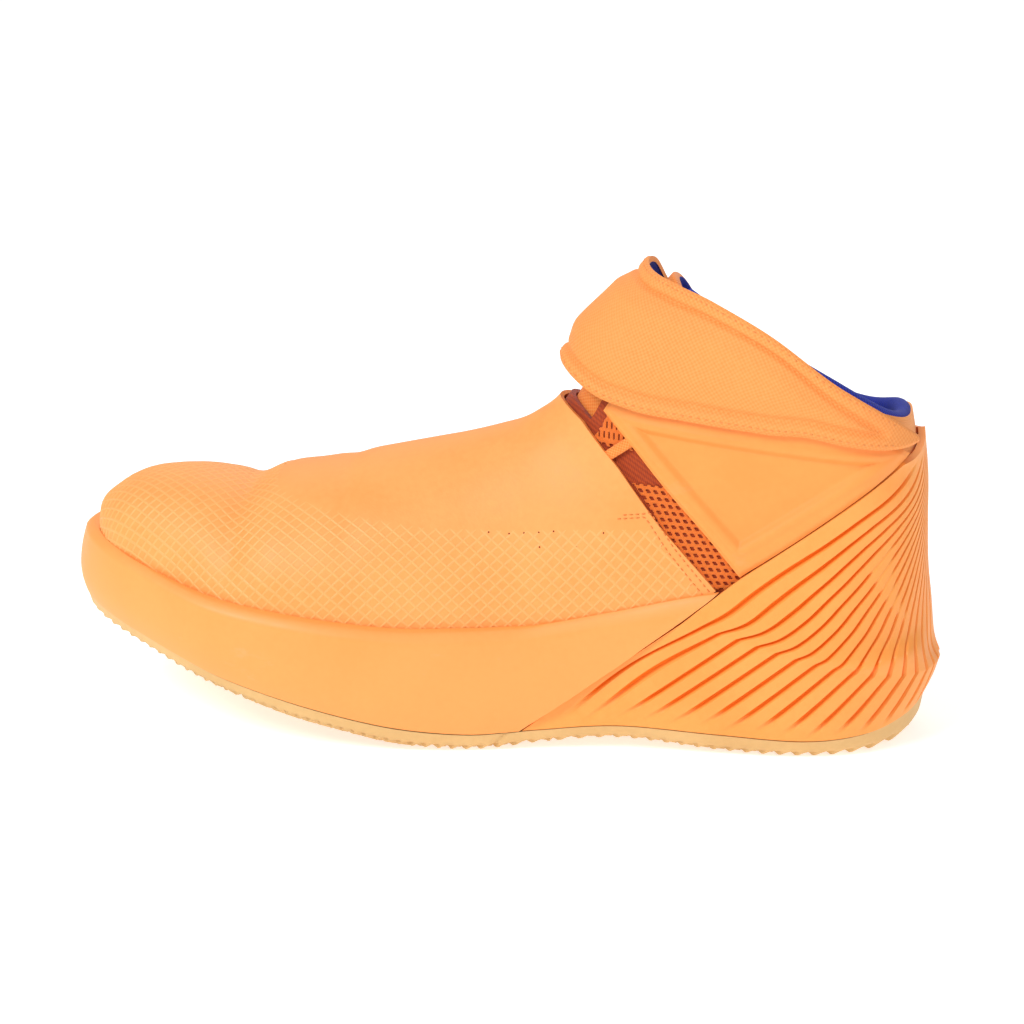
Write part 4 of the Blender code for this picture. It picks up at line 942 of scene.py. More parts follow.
def make_quarter(name, side, looks, replaced):
    """A moulded ankle panel with its sunk triangle."""
    def shape(u, v):
        collar, throat = QUARTER_TOPS[side]
        s, z = coons(collar, QUARTER_GAP, QUARTER_LOW, throat, u, v).T
        row, a = locate(s, z)
        depth = inside_triangle(s, z, SUNK_TRIANGLE)
        sunk = smooth(depth, -0.6, 1.8)
        lip = np.exp(-((depth + 1.8) / 1.2) ** 2)
        edge = np.minimum(np.minimum(u, 1 - u), np.minimum(v, 1 - v)) * QUARTER_SPAN
        rise = QUARTER_TOP_FACE - SUNK_DEPTH * sunk + LIP_HEIGHT * lip
        rise -= EDGE_DROP * (1 - smooth(edge, 0.0, 1.3))
        return skin(row, -side * a, rise + MIDDLE_CROWN * smooth(depth, 6.0, 16.0))

    piece = panel(name, 170, 150, shape, flipped=side > 0)
    add_wall(piece, QUARTER_WALL)
    return dress(piece, looks, [replaced])


# Cuts across the strap, from its lateral anchor over the front to its medial tab: side, low s, z, high s, z
STRAP = [
    (1, 16.5, 108.0, 16.8, 110.0), (1, 41.0, 111.5, 38.0, 129.5), (1, 62.0, 113.0, 59.0, 145.0),
    (1, 85.0, 114.5, 78.0, 154.0), (1, 106.0, 116.0, 90.5, 157.0), (1, 120.0, 120.0, 98.5, 158.0),
    (-1, 120.0, 120.0, 98.5, 157.5), (-1, 109.5, 116.5, 95.0, 147.0), (-1, 97.5, 113.5, 88.0, 136.0),
    (-1, 85.0, 111.0, 79.5, 127.0), (-1, 76.0, 111.5, 74.0, 122.0), (-1, 72.5, 114.5, 72.0, 118.5),
]
STRAP_WALL, STRAP_SHEET = 2.6, 1.9
# The cut where the strap turns round the front, and the widths of its flat border: low, high, anchor, tab
FOLD_CUT = 5.4
STRAP_BORDER = (4.6, 6.6, 17.0, 6.0)
PAD_HEIGHT, FOLD_HEIGHT, VALLEY_DEPTH, FRONT_PROUD, ROLLED_EDGE = 1.5, 0.9, 1.2, 4.0, 0.9


def strap_table():
    """The strap's cuts as (row, a) of their low and high ends on the last."""
    rows = []
    for side, low_s, low_z, high_s, high_z in STRAP:
        low, high = locate(low_s, low_z), locate(high_s, high_z)
        rows.append((float(low[0]), -side * float(low[1]), float(high[0]), -side * float(high[1])))
    return np.array(rows)


STRAP_EDGES = strap_table()


def strap_place(u, v):
    """(row, a) on the strap: u from its anchor to its tab, v from its low to its high edge."""
    low_row, low_a, high_row, high_a = np.moveaxis(catmull(STRAP_EDGES, u * (len(STRAP) - 1)), -1, 0)
    return low_row + (high_row - low_row) * v, low_a + (high_a - low_a) * v


def strap_rise(u):
    """Height of the strap's inside over the last: on its tab it clears the loop field."""
    over = np.clip((u * (len(STRAP) - 1) - 5.0) / 2.0, 0.0, 1.0)
    return QUARTER_TOP_FACE + GAP + 1.55 * over


def strap_lengths():
    """Width of the strap and the way along its middle, in millimetres, at even steps."""
    u = np.linspace(0.0, 1.0, 221)
    low, middle, high = (skin(*strap_place(u, np.full_like(u, v)), strap_rise(u)) for v in (0.0, 0.5, 1.0))
    return u, np.linalg.norm(high - low, axis=1), way_along(middle)


def strap_top(u, v):
    """Height of the strap's outside over the last: flat border, soft pad and a fuller fold at the front."""
    steps, width, way = strap_lengths()
    low = v * np.interp(u, steps, width)
    high = (1 - v) * np.interp(u, steps, width)
    here = np.interp(u, steps, way)
    edges = np.stack([low, high, here, way[-1] - here])
    inside = (edges - np.array(STRAP_BORDER)[:, None]).min(axis=0)
    cut = u * (len(STRAP) - 1)
    fold = np.exp(-(((cut - FOLD_CUT) / 1.1) ** 2))
    pad = (PAD_HEIGHT + FOLD_HEIGHT * fold) * smooth(inside, 0.3, 8.5)
    valley = VALLEY_DEPTH * np.exp(-((inside - 0.2) ** 2))
    proud = FRONT_PROUD * np.exp(-(((cut - FOLD_CUT - 0.1) / 1.3) ** 2)) * (1 - smooth(v, 0.0, 0.8))
    rolled = ROLLED_EDGE * (1 - smooth(edges.min(axis=0), 0.0, 1.2))
    return strap_rise(u) + STRAP_WALL + 0.2 + pad - valley + proud - rolled


def make_strap(looks):
    """The ankle strap, padded along its middle."""
    def shape(u, v):
        row, a = strap_place(u, v)
        return skin(row, a, strap_top(u, v))

    piece = panel("strap_band", 260, 80, shape, flipped=True)
    give_looks(piece, looks)
    add_wall(piece, STRAP_SHEET, inner_slot=1)
    merge_close(piece)
    return dress(piece, [], ["strap"])


PATCH_EDGES = (
    [(36.0, 103.5), (36.1, 105.5), (37.0, 107.5)],
    [(101.0, 111.5), (96.0, 122.5), (86.0, 131.5)],
    [(36.0, 103.5), (66.0, 107.0), (101.0, 111.5)],
    [(37.0, 107.5), (60.0, 116.5), (86.0, 131.5)],
)
PATCH_WALL = 1.2
PATCH_TOP_FACE = QUARTER_TOP_FACE + GAP + PATCH_WALL


def make_patch(looks):
    """The loop field that the strap's tab closes on."""
    def shape(u, v):
        s, z = coons(*PATCH_EDGES, u, v).T
        row, a = locate(s, z)
        return skin(row, a, PATCH_TOP_FACE)

    piece = panel("loop_field", 90, 50, shape)
    add_wall(piece, PATCH_WALL)
    return dress(piece, looks, ["loop_patch"])


# Rows of the tongue: its foot, its length at the middle and how much shorter it is at its sides
TONGUE_FOOT, TONGUE_ROWS, TONGUE_CORNER = 12.0, 8.2, 1.7
TONGUE_HALF, TONGUE_WALL, TONGUE_ROUND = 0.333, 3.2, 1.2
TONGUE_SUNK, TONGUE_PUFF = 3.25, 0.9


def make_tongue(looks):
    """The padded tongue in the throat."""
    def shape(u, v):
        across = 2 * v - 1
        row = TONGUE_FOOT + (TONGUE_ROWS - TONGUE_CORNER * np.abs(across) ** 2.6) * u
        puff = np.sin(math.pi * np.clip(u, 0.0, 1.0)) * np.cos(math.pi * (v - 0.5)) ** 0.5
        return skin(row, across * TONGUE_HALF, -TONGUE_SUNK - 0.35 * u + puff * TONGUE_PUFF)

    piece = panel("tongue_pad", 70, 40, shape)
    give_looks(piece, looks)
    add_wall(piece, TONGUE_WALL, inner_slot=1)
    modifier = piece.modifiers.new("round", "BEVEL")
    modifier.width = TONGUE_ROUND * MM
    modifier.segments = 3
    modifier.limit_method = "ANGLE"
    modifier.angle_limit = math.radians(60)
    apply_modifiers(piece)
    dress(piece, [], ["tongue"])
    return piece


FOOTBED_FRONT, FOOTBED_REAR, FOOTBED_INSET = 2.2, 14.0, 2.6
FOOTBED_TOP, FOOTBED_WALL, FOOTBED_DISH = 4.0, 3.4, 0.6


def make_insole(looks):
    """The loose footbed, dished a little along its middle."""
    def shape(u, v):
        row = FOOTBED_FRONT + (FOOTBED_REAR - FOOTBED_FRONT) * u
        inset = FOOTBED_INSET + 3.0 * np.maximum(row - 13.0, 0.0)
        lateral, medial = skin(row, -1.0), skin(row, 1.0)
        y0, y1 = lateral[:, 1] - inset, medial[:, 1] + inset
        y = y0 + (y1 - y0) * v
        dish = FOOTBED_DISH * np.cos(math.pi * (v - 0.5))
        return np.stack([lateral[:, 0], y, lateral[:, 2] + FOOTBED_TOP - dish], axis=-1)

    piece = panel("footbed", 90, 36, shape)
    add_wall(piece, FOOTBED_WALL)
    return dress(piece, looks, ["insole"])


THROAT_NORMAL = (0.85, 0.0, 0.53)


def tube(name, centres, width, height, sides=16, normals=None):
    """A closed tube through centres, from a grid rolled round its path."""
    centres = np.asarray(centres, float)
    forward = np.gradient(centres, axis=0)
    forward /= np.linalg.norm(forward, axis=1, keepdims=True)
    if normals is None:
        normals = np.tile(THROAT_NORMAL, (len(centres), 1))
    normals = normals - forward * np.sum(normals * forward, axis=1, keepdims=True)
    normals /= np.linalg.norm(normals, axis=1, keepdims=True)
    aside = np.cross(forward, normals)
    count = len(centres) - 1

    def shape(u, v):
        i = np.rint(u * count).astype(int)
        turn = 2 * math.pi * v
        out = normals[i] * (np.sin(turn) * height / 2)[:, None]
        return centres[i] + out + aside[i] * (np.cos(turn) * width / 2)[:, None]

    piece = panel(name, count, sides, shape)
    merge_close(piece)
    in_edit(piece, lambda: bpy.ops.mesh.fill_holes(sides=0))
    face_outwards(piece)
    return piece


# Rows of the lace's bars, their half length and the reach of the turns between them, as ring parameters
LACE_BARS = [15.6, 16.5, 17.4, 18.3]
LACE_STRAIGHT, LACE_BEND = 0.07, 0.045
LACE_LIFT, LACE_THICK = 0.4, 3.6


def make_lace(looks):
    """The lace's bars across the throat, joined by half turns."""
    centres = []
    for i, row in enumerate(LACE_BARS):
        way = 1 if i % 2 == 0 else -1
        for step in np.linspace(-1.0, 1.0, 9):
            centres.append(skin(row, way * LACE_STRAIGHT * step, LACE_LIFT))
        if i + 1 < len(LACE_BARS):
            half = (LACE_BARS[i + 1] - row) / 2
            for angle in np.linspace(0.0, math.pi, 10)[1:-1]:
                a = way * (LACE_STRAIGHT + LACE_BEND * math.sin(angle))
                centres.append(skin(row + half * (1 - math.cos(angle)), a, LACE_LIFT))
    piece = tube("lace_cord", centres, LACE_THICK, LACE_THICK)
    return dress(piece, looks, ["lace"])


COLLAR_SUNK, COLLAR_ROLL = 3.5, (7.6, 6.2)


def make_collar(looks):
    """The padded lining rolled over the collar's edge."""
    a = np.concatenate([np.linspace(-0.2, -1.0, 70), np.linspace(1.0, 0.2, 70)[1:]])
    row = dipped(np.full_like(a, COLLAR_ROW - 0.12), a)
    centres = skin(row, a, -COLLAR_SUNK)
    normals = skin(row, a, 0.0) - centres
    piece = tube("collar_roll", centres, *COLLAR_ROLL, 20, normals)
    dress(piece, looks)
    return piece


# Ends of the flat lace in the side view, and its width and thickness
FLAT_LACE_ENDS = [(103.0, 108.0), (117.5, 96.5)]
FLAT_LACE = (3.7, 1.3)


def make_gap_lace(name, side, looks):
    """The flat run of lace that crosses the gap between shroud and quarter."""
    share = np.linspace(0.0, 1.0, 15)
    row, a = locate(*np.linspace(*FLAT_LACE_ENDS, 15).T)
    lift = 0.9 + 0.8 * np.sin(math.pi * share)
    centres = skin(row, -side * a, lift)
    normals = skin(row, -side * a, lift + 1.0) - centres
    piece = tube(name, centres, *FLAT_LACE, 16, normals)
    return dress(piece, looks)


NET_CELL_S, NET_CELL_Z = 0.43, 0.55
NET_LOW, NET_HIGH = (62.0, 55.0), (126.0, 118.0)
NET_LIFT, NET_WALL, NET_MARGIN = 0.72, 0.5, 3.2
# Heights between which the net stops, and above which its holes are slits
NET_OPEN, NET_SLITS = (91.5, 101.5), 103.0


def net_hole(column, row):
    """Whether a cell of the net is open: slanted lenses low down, narrow slits above the lace."""
    tier = row // 4
    inside = row % 4
    start = (column + 3 * (tier % 2) - (inside == 2)) % 6
    lens = ((inside == 1) | (inside == 2)) & (start >= 1) & (start <= 3)
    slit = (column % 4 == (2 * (row // 6)) % 4) & (row % 6 < 4)
    high = NET_LOW[1] + row * NET_CELL_Z > NET_SLITS
    return np.where(high, slit, lens)


def make_side_net(name, side, looks):
    """The open net of the upper that shows in the gap between shroud and quarter."""
    across = int((NET_HIGH[0] - NET_LOW[0]) / NET_CELL_S)
    up = int((NET_HIGH[1] - NET_LOW[1]) / NET_CELL_Z)

    def side_view(u, v):
        return NET_LOW[0] + across * NET_CELL_S * u, NET_LOW[1] + up * NET_CELL_Z * v

    def shape(u, v):
        row, a = locate(*side_view(u, v))
        return skin(row, -side * a, NET_LIFT)

    piece = panel(name, across, up, shape, flipped=side > 0)
    index = np.arange(across * up)
    column, row = index % across, index // across
    s, z = side_view((column + 0.5) / across, (row + 0.5) / up)
    shown = (z > along(SHROUD_EDGE, s - NET_MARGIN)) & (z < along(QUARTER_GAP, s + NET_MARGIN))
    hollow = (z > NET_OPEN[0]) & (z < NET_OPEN[1])
    beyond = (z < along(CAGE_EDGE, s) - 2.0) | (locate(s, z)[1] < 0.2)
    drop_faces(piece, ~shown | hollow | beyond | net_hole(column, row))
    add_wall(piece, NET_WALL)
    soft = piece.modifiers.new("soft", "SUBSURF")
    soft.levels = soft.render_levels = 1
    apply_modifiers(piece)
    return dress(piece, looks, angle=180.0)


def sew(name, lines, length, width, looks):
    """Small beads at the given places, such as stitches: each line holds points and the normals there."""
    bpy.ops.object.select_all(action="DESELECT")
    bpy.ops.mesh.primitive_uv_sphere_add(segments=6, ring_count=4, radius=0.5)
    unit = bpy.context.active_object
    made = []
    for points, normals in lines:
        forward = np.gradient(points, axis=0)
        forward /= np.linalg.norm(forward, axis=1, keepdims=True)
        for point, way, normal in zip(points, forward, normals):
            normal = normal / np.linalg.norm(normal)
            aside = np.cross(normal, way)
            axes = np.stack([way * length, aside * width, normal * width * 0.8], axis=1) * MM
            matrix = np.eye(4)
            matrix[:3, :3] = axes
            matrix[:3, 3] = model(point)
            stitch = unit.copy()
            stitch.data = unit.data.copy()
            bpy.context.scene.collection.objects.link(stitch)
            stitch.data.transform(Matrix(matrix.tolist()))
            made.append(stitch)
    bpy.data.objects.remove(unit)
    bpy.ops.object.select_all(action="DESELECT")
    for stitch in made:
        stitch.select_set(True)
    bpy.context.view_layer.objects.active = made[0]
    bpy.ops.object.join()
    piece = made[0]
    piece.name = name
    piece.data.name = name
    face_outwards(piece)
    return dress(piece, looks, angle=180.0)


def spaced(points, pitch):
    """Even places along a line of side-view or surface points."""
    points = np.asarray(points, float)
    way = way_along(points)
    steps = np.arange(pitch / 2, way[-1], pitch)
    return np.stack([np.interp(steps, way, points[:, i]) for i in range(points.shape[1])], axis=1)


def sewn(row, a, lift):
    """Points over the last, with the directions out of it."""
    return skin(row, a, lift), skin(row, a, 6.0) - skin(row, a, 4.0)


def shroud_seams():
    """Two rows of stitches along the shroud's rear edge on each side, with a short turn at their top."""
    lines = []
    for inset in (2.6, 5.0):
        edge = np.linspace(76.5, 97.0, 30)
        track = [(s + inset * 0.8, along(SHROUD_EDGE, s) - inset * 0.6) for s in edge]
        track += [(track[-1][0] + step, track[-1][1] - 0.15 * step) for step in (2.0, 5.0, 9.0)]
        s, z = spaced(track, 2.1).T
        row, a = locate(s, z)
        lines += [sewn(row, way * a, shroud_lift(row, way * a) + 0.02) for way in (-1, 1)]
    return lines


# Breathing holes of the shroud near the top of its ribbed field, as (station, height)
VENTS = [
    (115.0, 74.5), (124.0, 69.5), (132.0, 73.8), (137.0, 73.2),
    (136.5, 68.8), (142.0, 72.8), (147.0, 72.4), (154.0, 72.6),
]


def vent_places():
    """The breathing holes on both sides of the shroud, drawn as dark beads of painted shadow."""
    row, a = locate(*np.array(VENTS).T)
    return [sewn(row, way * a, shroud_lift(row, way * a)) for way in (-1, 1)]


def strap_seams():
    """Stitches along the strap's upper and lower border."""
    lines = []
    steps, width, way = strap_lengths()
    for inset, low in ((1.6, True), (2.1, False)):
        u = np.interp(np.arange(14.0, way[-1] - 6.0, 2.4), way, steps)
        share = inset / np.interp(u, steps, width)
        v = share if low else 1 - share
        row, a = strap_place(u, v)
        lines.append(sewn(row, a, strap_top(u, v) + 0.02))
    return lines


def patch_seams():
    """Two rows of stitches round the loop field."""
    lines = []
    for inset in (0.035, 0.075):
        across, up = inset, inset * 2.2
        corners = [(across, up), (1 - across, up), (1 - across, 1 - up), (across, 1 - up), (across, up)]
        track = np.concatenate([np.linspace(p, q, 30) for p, q in zip(corners, corners[1:])])
        s, z = spaced(coons(*PATCH_EDGES, track[:, 0], track[:, 1]), 2.2).T
        row, a = locate(s, z)
        lines.append(sewn(row, a, PATCH_TOP_FACE + 0.05))
    return lines


FLOAT, VECTOR = "NodeSocketFloat", "NodeSocketVector"
PLACE_AND_SCALE = [("Vector", VECTOR), ("Scale", FLOAT)]


def add_node(tree, kind, settings=None, **sockets):
    """A node with its settings, and values or links for its named inputs."""
    node = tree.nodes.new(kind)
    for name, value in (settings or {}).items():
        setattr(node, name, value)
    for name, value in sockets.items():
        feed(tree, node, name.replace("_", " "), value)
    return node


def feed(tree, node, name, value):
    """Sets an input by its name or number, or links it when the value is another node's output."""
    socket = node.inputs[int(name) if name.isdigit() else name]
    if isinstance(value, bpy.types.NodeSocket):
        tree.links.new(value, socket)
    else:
        socket.default_value = value


def maths(tree, operation, first, second=0.0):
    """Output of a sum or other operation on one or two values."""
    node = tree.nodes.new("ShaderNodeMath")
    node.operation = operation
    feed(tree, node, "0", first)
    feed(tree, node, "1", second)
    return node.outputs[0]


def ramp(tree, value, low, high, start=0.0, end=1.0):
    """A value carried from the range low to high into start to end."""
    node = tree.nodes.new("ShaderNodeMapRange")
    node.interpolation_type = "SMOOTHSTEP"
    names = ("Value", "From Min", "From Max", "To Min", "To Max")
    for name, given in zip(names, (value, low, high, start, end)):
        feed(tree, node, name, given)
    return node.outputs["Result"]


def new_group(name, inputs, outputs):
    """An empty shader group with its named sockets."""
    tree = bpy.data.node_groups.new(name, "ShaderNodeTree")
    for label, kind in inputs:
        tree.interface.new_socket(name=label, in_out="INPUT", socket_type=kind)
    for label, kind in outputs:
        tree.interface.new_socket(name=label, in_out="OUTPUT", socket_type=kind)
    return tree, tree.nodes.new("NodeGroupInput").outputs, tree.nodes.new("NodeGroupOutput").inputs


def mottle_group():
    """Slow, faint change of shade over a surface, with a fine speckle in it."""
    tree, given, result = new_group("shade_mottle", PLACE_AND_SCALE, [("Shade", FLOAT)])
    slow = add_node(tree, "ShaderNodeTexNoise", Vector=given["Vector"], Scale=given["Scale"], Detail=3.0)
    finer = maths(tree, "MULTIPLY", given["Scale"], 14.0)
    fine = add_node(tree, "ShaderNodeTexNoise", Vector=given["Vector"], Scale=finer, Detail=2.0)
    most = maths(tree, "MULTIPLY", slow.outputs[0], 0.7)
    mixed = maths(tree, "ADD", most, maths(tree, "MULTIPLY", fine.outputs[0], 0.3))
    tree.links.new(ramp(tree, mixed, 0.32, 0.68), result["Shade"])
    return tree


def grain_group():
    """Fine pebbled grain of a coated skin."""
    tree, given, result = new_group("skin_grain", PLACE_AND_SCALE, [("Height", FLOAT)])
    cells = add_node(
        tree, "ShaderNodeTexVoronoi", {"feature": "SMOOTH_F1"}, Vector=given["Vector"], Scale=given["Scale"]
    )
    finer = maths(tree, "MULTIPLY", given["Scale"], 2.3)
    pores = add_node(tree, "ShaderNodeTexNoise", Vector=given["Vector"], Scale=finer, Detail=3.0)
    low = maths(tree, "SUBTRACT", 1.0, cells.outputs["Distance"])
    height = maths(tree, "ADD", low, maths(tree, "MULTIPLY", pores.outputs[0], 0.5))
    tree.links.new(height, result["Height"])
    return tree


def weave_group():
    """Knit or woven threads that follow the piece's own map, in centimetres."""
    tree, given, result = new_group(
        "thread_weave", [("Vector", VECTOR), ("Threads", FLOAT)], [("Height", FLOAT), ("Shade", FLOAT)]
    )
    parts = add_node(tree, "ShaderNodeSeparateXYZ", Vector=given["Vector"])
    turn = maths(tree, "MULTIPLY", given["Threads"], 2 * math.pi)
    across = maths(tree, "SINE", maths(tree, "MULTIPLY", parts.outputs["X"], turn))
    up = maths(tree, "SINE", maths(tree, "MULTIPLY", parts.outputs["Y"], turn))
    knot = maths(tree, "MULTIPLY", across, up)
    lint = add_node(tree, "ShaderNodeTexNoise", Vector=given["Vector"], Scale=given["Threads"], Detail=3.0)
    fuzz = maths(tree, "MULTIPLY", lint.outputs[0], 0.6)
    height = maths(tree, "ADD", maths(tree, "MULTIPLY", knot, 0.5), fuzz)
    tree.links.new(height, result["Height"])
    tree.links.new(ramp(tree, height, -0.2, 0.8), result["Shade"])
    return tree


def scuff_group():
    """Faint rubbed marks, drawn out along one way."""
    tree, given, result = new_group("rubbed_marks", PLACE_AND_SCALE + [("Amount", FLOAT)], [("Mask", FLOAT)])
    drawn = add_node(tree, "ShaderNodeMapping", Vector=given["Vector"], Scale=(1.0, 0.3, 2.2))
    marks = add_node(
        tree, "ShaderNodeTexNoise", Vector=drawn.outputs[0], Scale=given["Scale"], Detail=6.0, Roughness=0.7
    )
    mask = ramp(tree, marks.outputs[0], 0.60, 0.74)
    tree.links.new(maths(tree, "MULTIPLY", mask, given["Amount"]), result["Mask"])
    return tree


GROUPS = {}


def use_group(tree, name, **sockets):
    """Outputs of a shared group, with values or links for its named inputs."""
    node = tree.nodes.new("ShaderNodeGroup")
    node.node_tree = GROUPS[name]
    for label, value in sockets.items():
        feed(tree, node, label, value)
    return node.outputs


def blend_colour(tree, factor, first, second):
    """Colour from first to second by a factor."""
    node = tree.nodes.new("ShaderNodeMix")
    node.data_type = "RGBA"
    feed(tree, node, "0", factor)
    for index, value in (("6", first), ("7", second)):
        feed(tree, node, index, value if isinstance(value, bpy.types.NodeSocket) else (*value, 1.0))
    return node.outputs[2]


class Look:
    """A material in the making: its tree, its shader and the coordinates its patterns use."""

    def __init__(self, name, roughness, sheen=0.0):
        self.made = bpy.data.materials.new(name)
        self.made.use_nodes = True
        self.tree = self.made.node_tree
        self.shader = self.tree.nodes["Principled BSDF"]
        self.shader.inputs["Roughness"].default_value = roughness
        self.shader.inputs["Sheen Weight"].default_value = sheen
        coords = self.tree.nodes.new("ShaderNodeTexCoord")
        self.place, self.map = coords.outputs["Object"], coords.outputs["UV"]

    def set(self, name, value):
        feed(self.tree, self.shader, name, value)

    def bump(self, height, strength, distance):
        sockets = {"Strength": strength, "Distance": distance * MM, "Height": height}
        node = add_node(self.tree, "ShaderNodeBump", **sockets)
        self.set("Normal", node.outputs["Normal"])


# Base colours, and the size of the slow mottle on them
MOTTLE_SCALE = 30.0
ORANGE = (0.95, 0.34, 0.076)
ORANGE_PALE = (0.98, 0.385, 0.1)
ORANGE_WARM = (0.96, 0.335, 0.068)
ORANGE_DEEP = (0.86, 0.20, 0.02)
# The darkest colour of the upper in the gaps: mostly painted shade, over the knit's own deeper orange
GAP_DYE_AND_SHADE_DARK = (0.28, 0.028, 0.001)
BLUE = (0.010, 0.036, 0.5)
BLUE_DARK = (0.004, 0.006, 0.11)
# The shroud's ribs are lighter than its skin: partly their own polish, partly a painted highlight on their
# raised crests
RIB_POLISH_AND_HIGHLIGHT_PALE, RIB_POLISH_AND_HIGHLIGHT_SHADE = (1.0, 0.44, 0.135), (1.0, 0.41, 0.115)
CUP_PALE, CUP_SHADE = (0.985, 0.372, 0.09), (0.97, 0.35, 0.078)
GUM_PALE, GUM_SHADE = (0.74, 0.47, 0.19), (0.68, 0.41, 0.15)
# The cage's colours; its groove colour is painted shade
CAGE_PALE, CAGE_SHADE, CAGE_GROOVE_SHADE = (0.985, 0.372, 0.073), (0.955, 0.335, 0.058), (0.92, 0.20, 0.01)
QUARTER_PALE, QUARTER_SHADE = (0.965, 0.342, 0.071), (0.95, 0.312, 0.058)
STRAP_PALE, STRAP_SHADE, STRAP_DOT = (0.905, 0.298, 0.06), (0.88, 0.27, 0.05), (0.94, 0.36, 0.095)
# The first is the paler colour of the upper in the gaps, its deeper orange knit with painted shade over it;
# the second is the net's darker thread colour
GAP_DYE_AND_SHADE_PALE, NET_SHADE = (0.48, 0.06, 0.002), (0.72, 0.14, 0.01)
THREAD_PALE = (0.93, 0.30, 0.06)
STRAP_THREAD_PALE, STRAP_THREAD_SHADE = (0.94, 0.33, 0.07), (0.9, 0.29, 0.055)
# Painted shadow inside the breathing holes
VENT_SHADOW_PALE, VENT_SHADE = (0.3, 0.04, 0.004), (0.2, 0.02, 0.002)


def plain_look(name, light, dark, roughness, grain, strength, scuffs=0.0):
    """A coated or moulded skin: mottled colour, fine grain and a few rubbed marks."""
    look = Look(name, roughness)
    shade = use_group(look.tree, "mottle", Vector=look.place, Scale=MOTTLE_SCALE)["Shade"]
    colour = blend_colour(look.tree, shade, dark, light)
    if scuffs:
        marks = use_group(look.tree, "scuff", Vector=look.place, Scale=45.0, Amount=scuffs)["Mask"]
        colour = blend_colour(look.tree, marks, colour, tuple(0.8 * c + 0.15 for c in dark))
    look.set("Base Color", colour)
    look.set("Roughness", ramp(look.tree, shade, 0.0, 1.0, roughness - 0.06, roughness + 0.06))
    height = use_group(look.tree, "grain", Vector=look.place, Scale=grain)["Height"]
    look.bump(height, strength, 0.15)
    return look.made


def cloth_look(name, light, dark, threads, strength=0.5, sheen=0.2):
    """Woven or knit cloth."""
    look = Look(name, 0.85, sheen=sheen)
    weave = use_group(look.tree, "weave", Vector=look.map, Threads=threads)
    look.set("Base Color", blend_colour(look.tree, weave["Shade"], dark, light))
    look.bump(weave["Height"], strength, 0.3)
    return look.made


def upper_look():
    """Cloth of the upper: pale and pebbled at the heel, and where it lies in the gaps a deeper orange
    darkened further by painted shade.
    """
    look = Look("upper_cloth", 0.85, sheen=0.2)
    weave = use_group(look.tree, "weave", Vector=look.map, Threads=7.0)
    hollow = add_node(look.tree, "ShaderNodeAttribute", {"attribute_name": "hollow"}).outputs["Fac"]
    pale = blend_colour(look.tree, weave["Shade"], ORANGE, ORANGE_PALE)
    deep = blend_colour(look.tree, weave["Shade"], GAP_DYE_AND_SHADE_DARK, GAP_DYE_AND_SHADE_PALE)
    # Painted shade in the gaps, over the knit's own deeper orange
    look.set("Base Color", blend_colour(look.tree, hollow, pale, deep))
    look.bump(weave["Height"], 0.5, 0.3)
    return look.made


def strap_look():
    """Pebbled textile of the strap, in rows of small pale dots."""
    look = Look("strap_skin", 0.72)
    weave = use_group(look.tree, "weave", Vector=look.map, Threads=6.0)
    shade = use_group(look.tree, "mottle", Vector=look.place, Scale=MOTTLE_SCALE)["Shade"]
    ground = blend_colour(look.tree, shade, STRAP_SHADE, STRAP_PALE)
    look.set("Base Color", blend_colour(look.tree, weave["Shade"], ground, STRAP_DOT))
    look.bump(weave["Height"], 0.55, 0.25)
    return look.made


def cage_look():
    """Satin ribs, with painted shade darkening the grooves between them."""
    look = Look("cage_ribs", 0.5)
    shade = use_group(look.tree, "mottle", Vector=look.place, Scale=MOTTLE_SCALE)["Shade"]
    groove = add_node(look.tree, "ShaderNodeAttribute", {"attribute_name": "groove"}).outputs["Fac"]
    colour = blend_colour(look.tree, shade, CAGE_SHADE, CAGE_PALE)
    # Painted shade: deeper orange the deeper the groove
    colour = blend_colour(look.tree, ramp(look.tree, groove, 0.25, 0.9), colour, CAGE_GROOVE_SHADE)
    look.set("Base Color", colour)
    height = use_group(look.tree, "grain", Vector=look.place, Scale=1400.0)["Height"]
    look.bump(height, 0.15, 0.08)
    return look.made


# The photograph's camera, its roll, and how far the shoe stands off the picture's middle, in pixels
CAMERA_PLACE = (44.2, 935.93, 387.02)
PHOTO_TOWARDS = (-0.10097, 0.96063, 0.25882)
PHOTO_ROLL = math.radians(0.674)
FOCAL_PIXELS, FRAME_PIXELS = 2867.0, 1024.0
SHOE_OFF_CENTRE = (-22.0, 178.0)


def make_camera():
    """The photograph's viewpoint, turned so that the shoe stands in the middle of the frame."""
    towards = np.array(PHOTO_TOWARDS)
    right = np.cross([0.0, 0.0, 1.0], towards)
    right /= np.linalg.norm(right)
    up = np.cross(towards, right)
    cos, sin = math.cos(PHOTO_ROLL), math.sin(PHOTO_ROLL)
    right, up = right * cos + up * sin, up * cos - right * sin
    back = towards - right * SHOE_OFF_CENTRE[0] / FOCAL_PIXELS + up * SHOE_OFF_CENTRE[1] / FOCAL_PIXELS
    back /= np.linalg.norm(back)
    right -= back * np.dot(right, back)
    right /= np.linalg.norm(right)
    up = np.cross(back, right)
    data = bpy.data.cameras.new("camera")
    data.sensor_width = 36.0
    data.lens = 36.0 * FOCAL_PIXELS / FRAME_PIXELS
    data.clip_start, data.clip_end = 0.01, 50.0
    camera = bpy.data.objects.new("camera", data)
    bpy.context.scene.collection.objects.link(camera)
    place = model(CAMERA_PLACE)
    camera.matrix_world = Matrix([
        (right[0], up[0], back[0], place[0]),
        (right[1], up[1], back[1], place[1]),
        (right[2], up[2], back[2], place[2]),
        (0.0, 0.0, 0.0, 1.0),
    ])
    bpy.context.scene.camera = camera


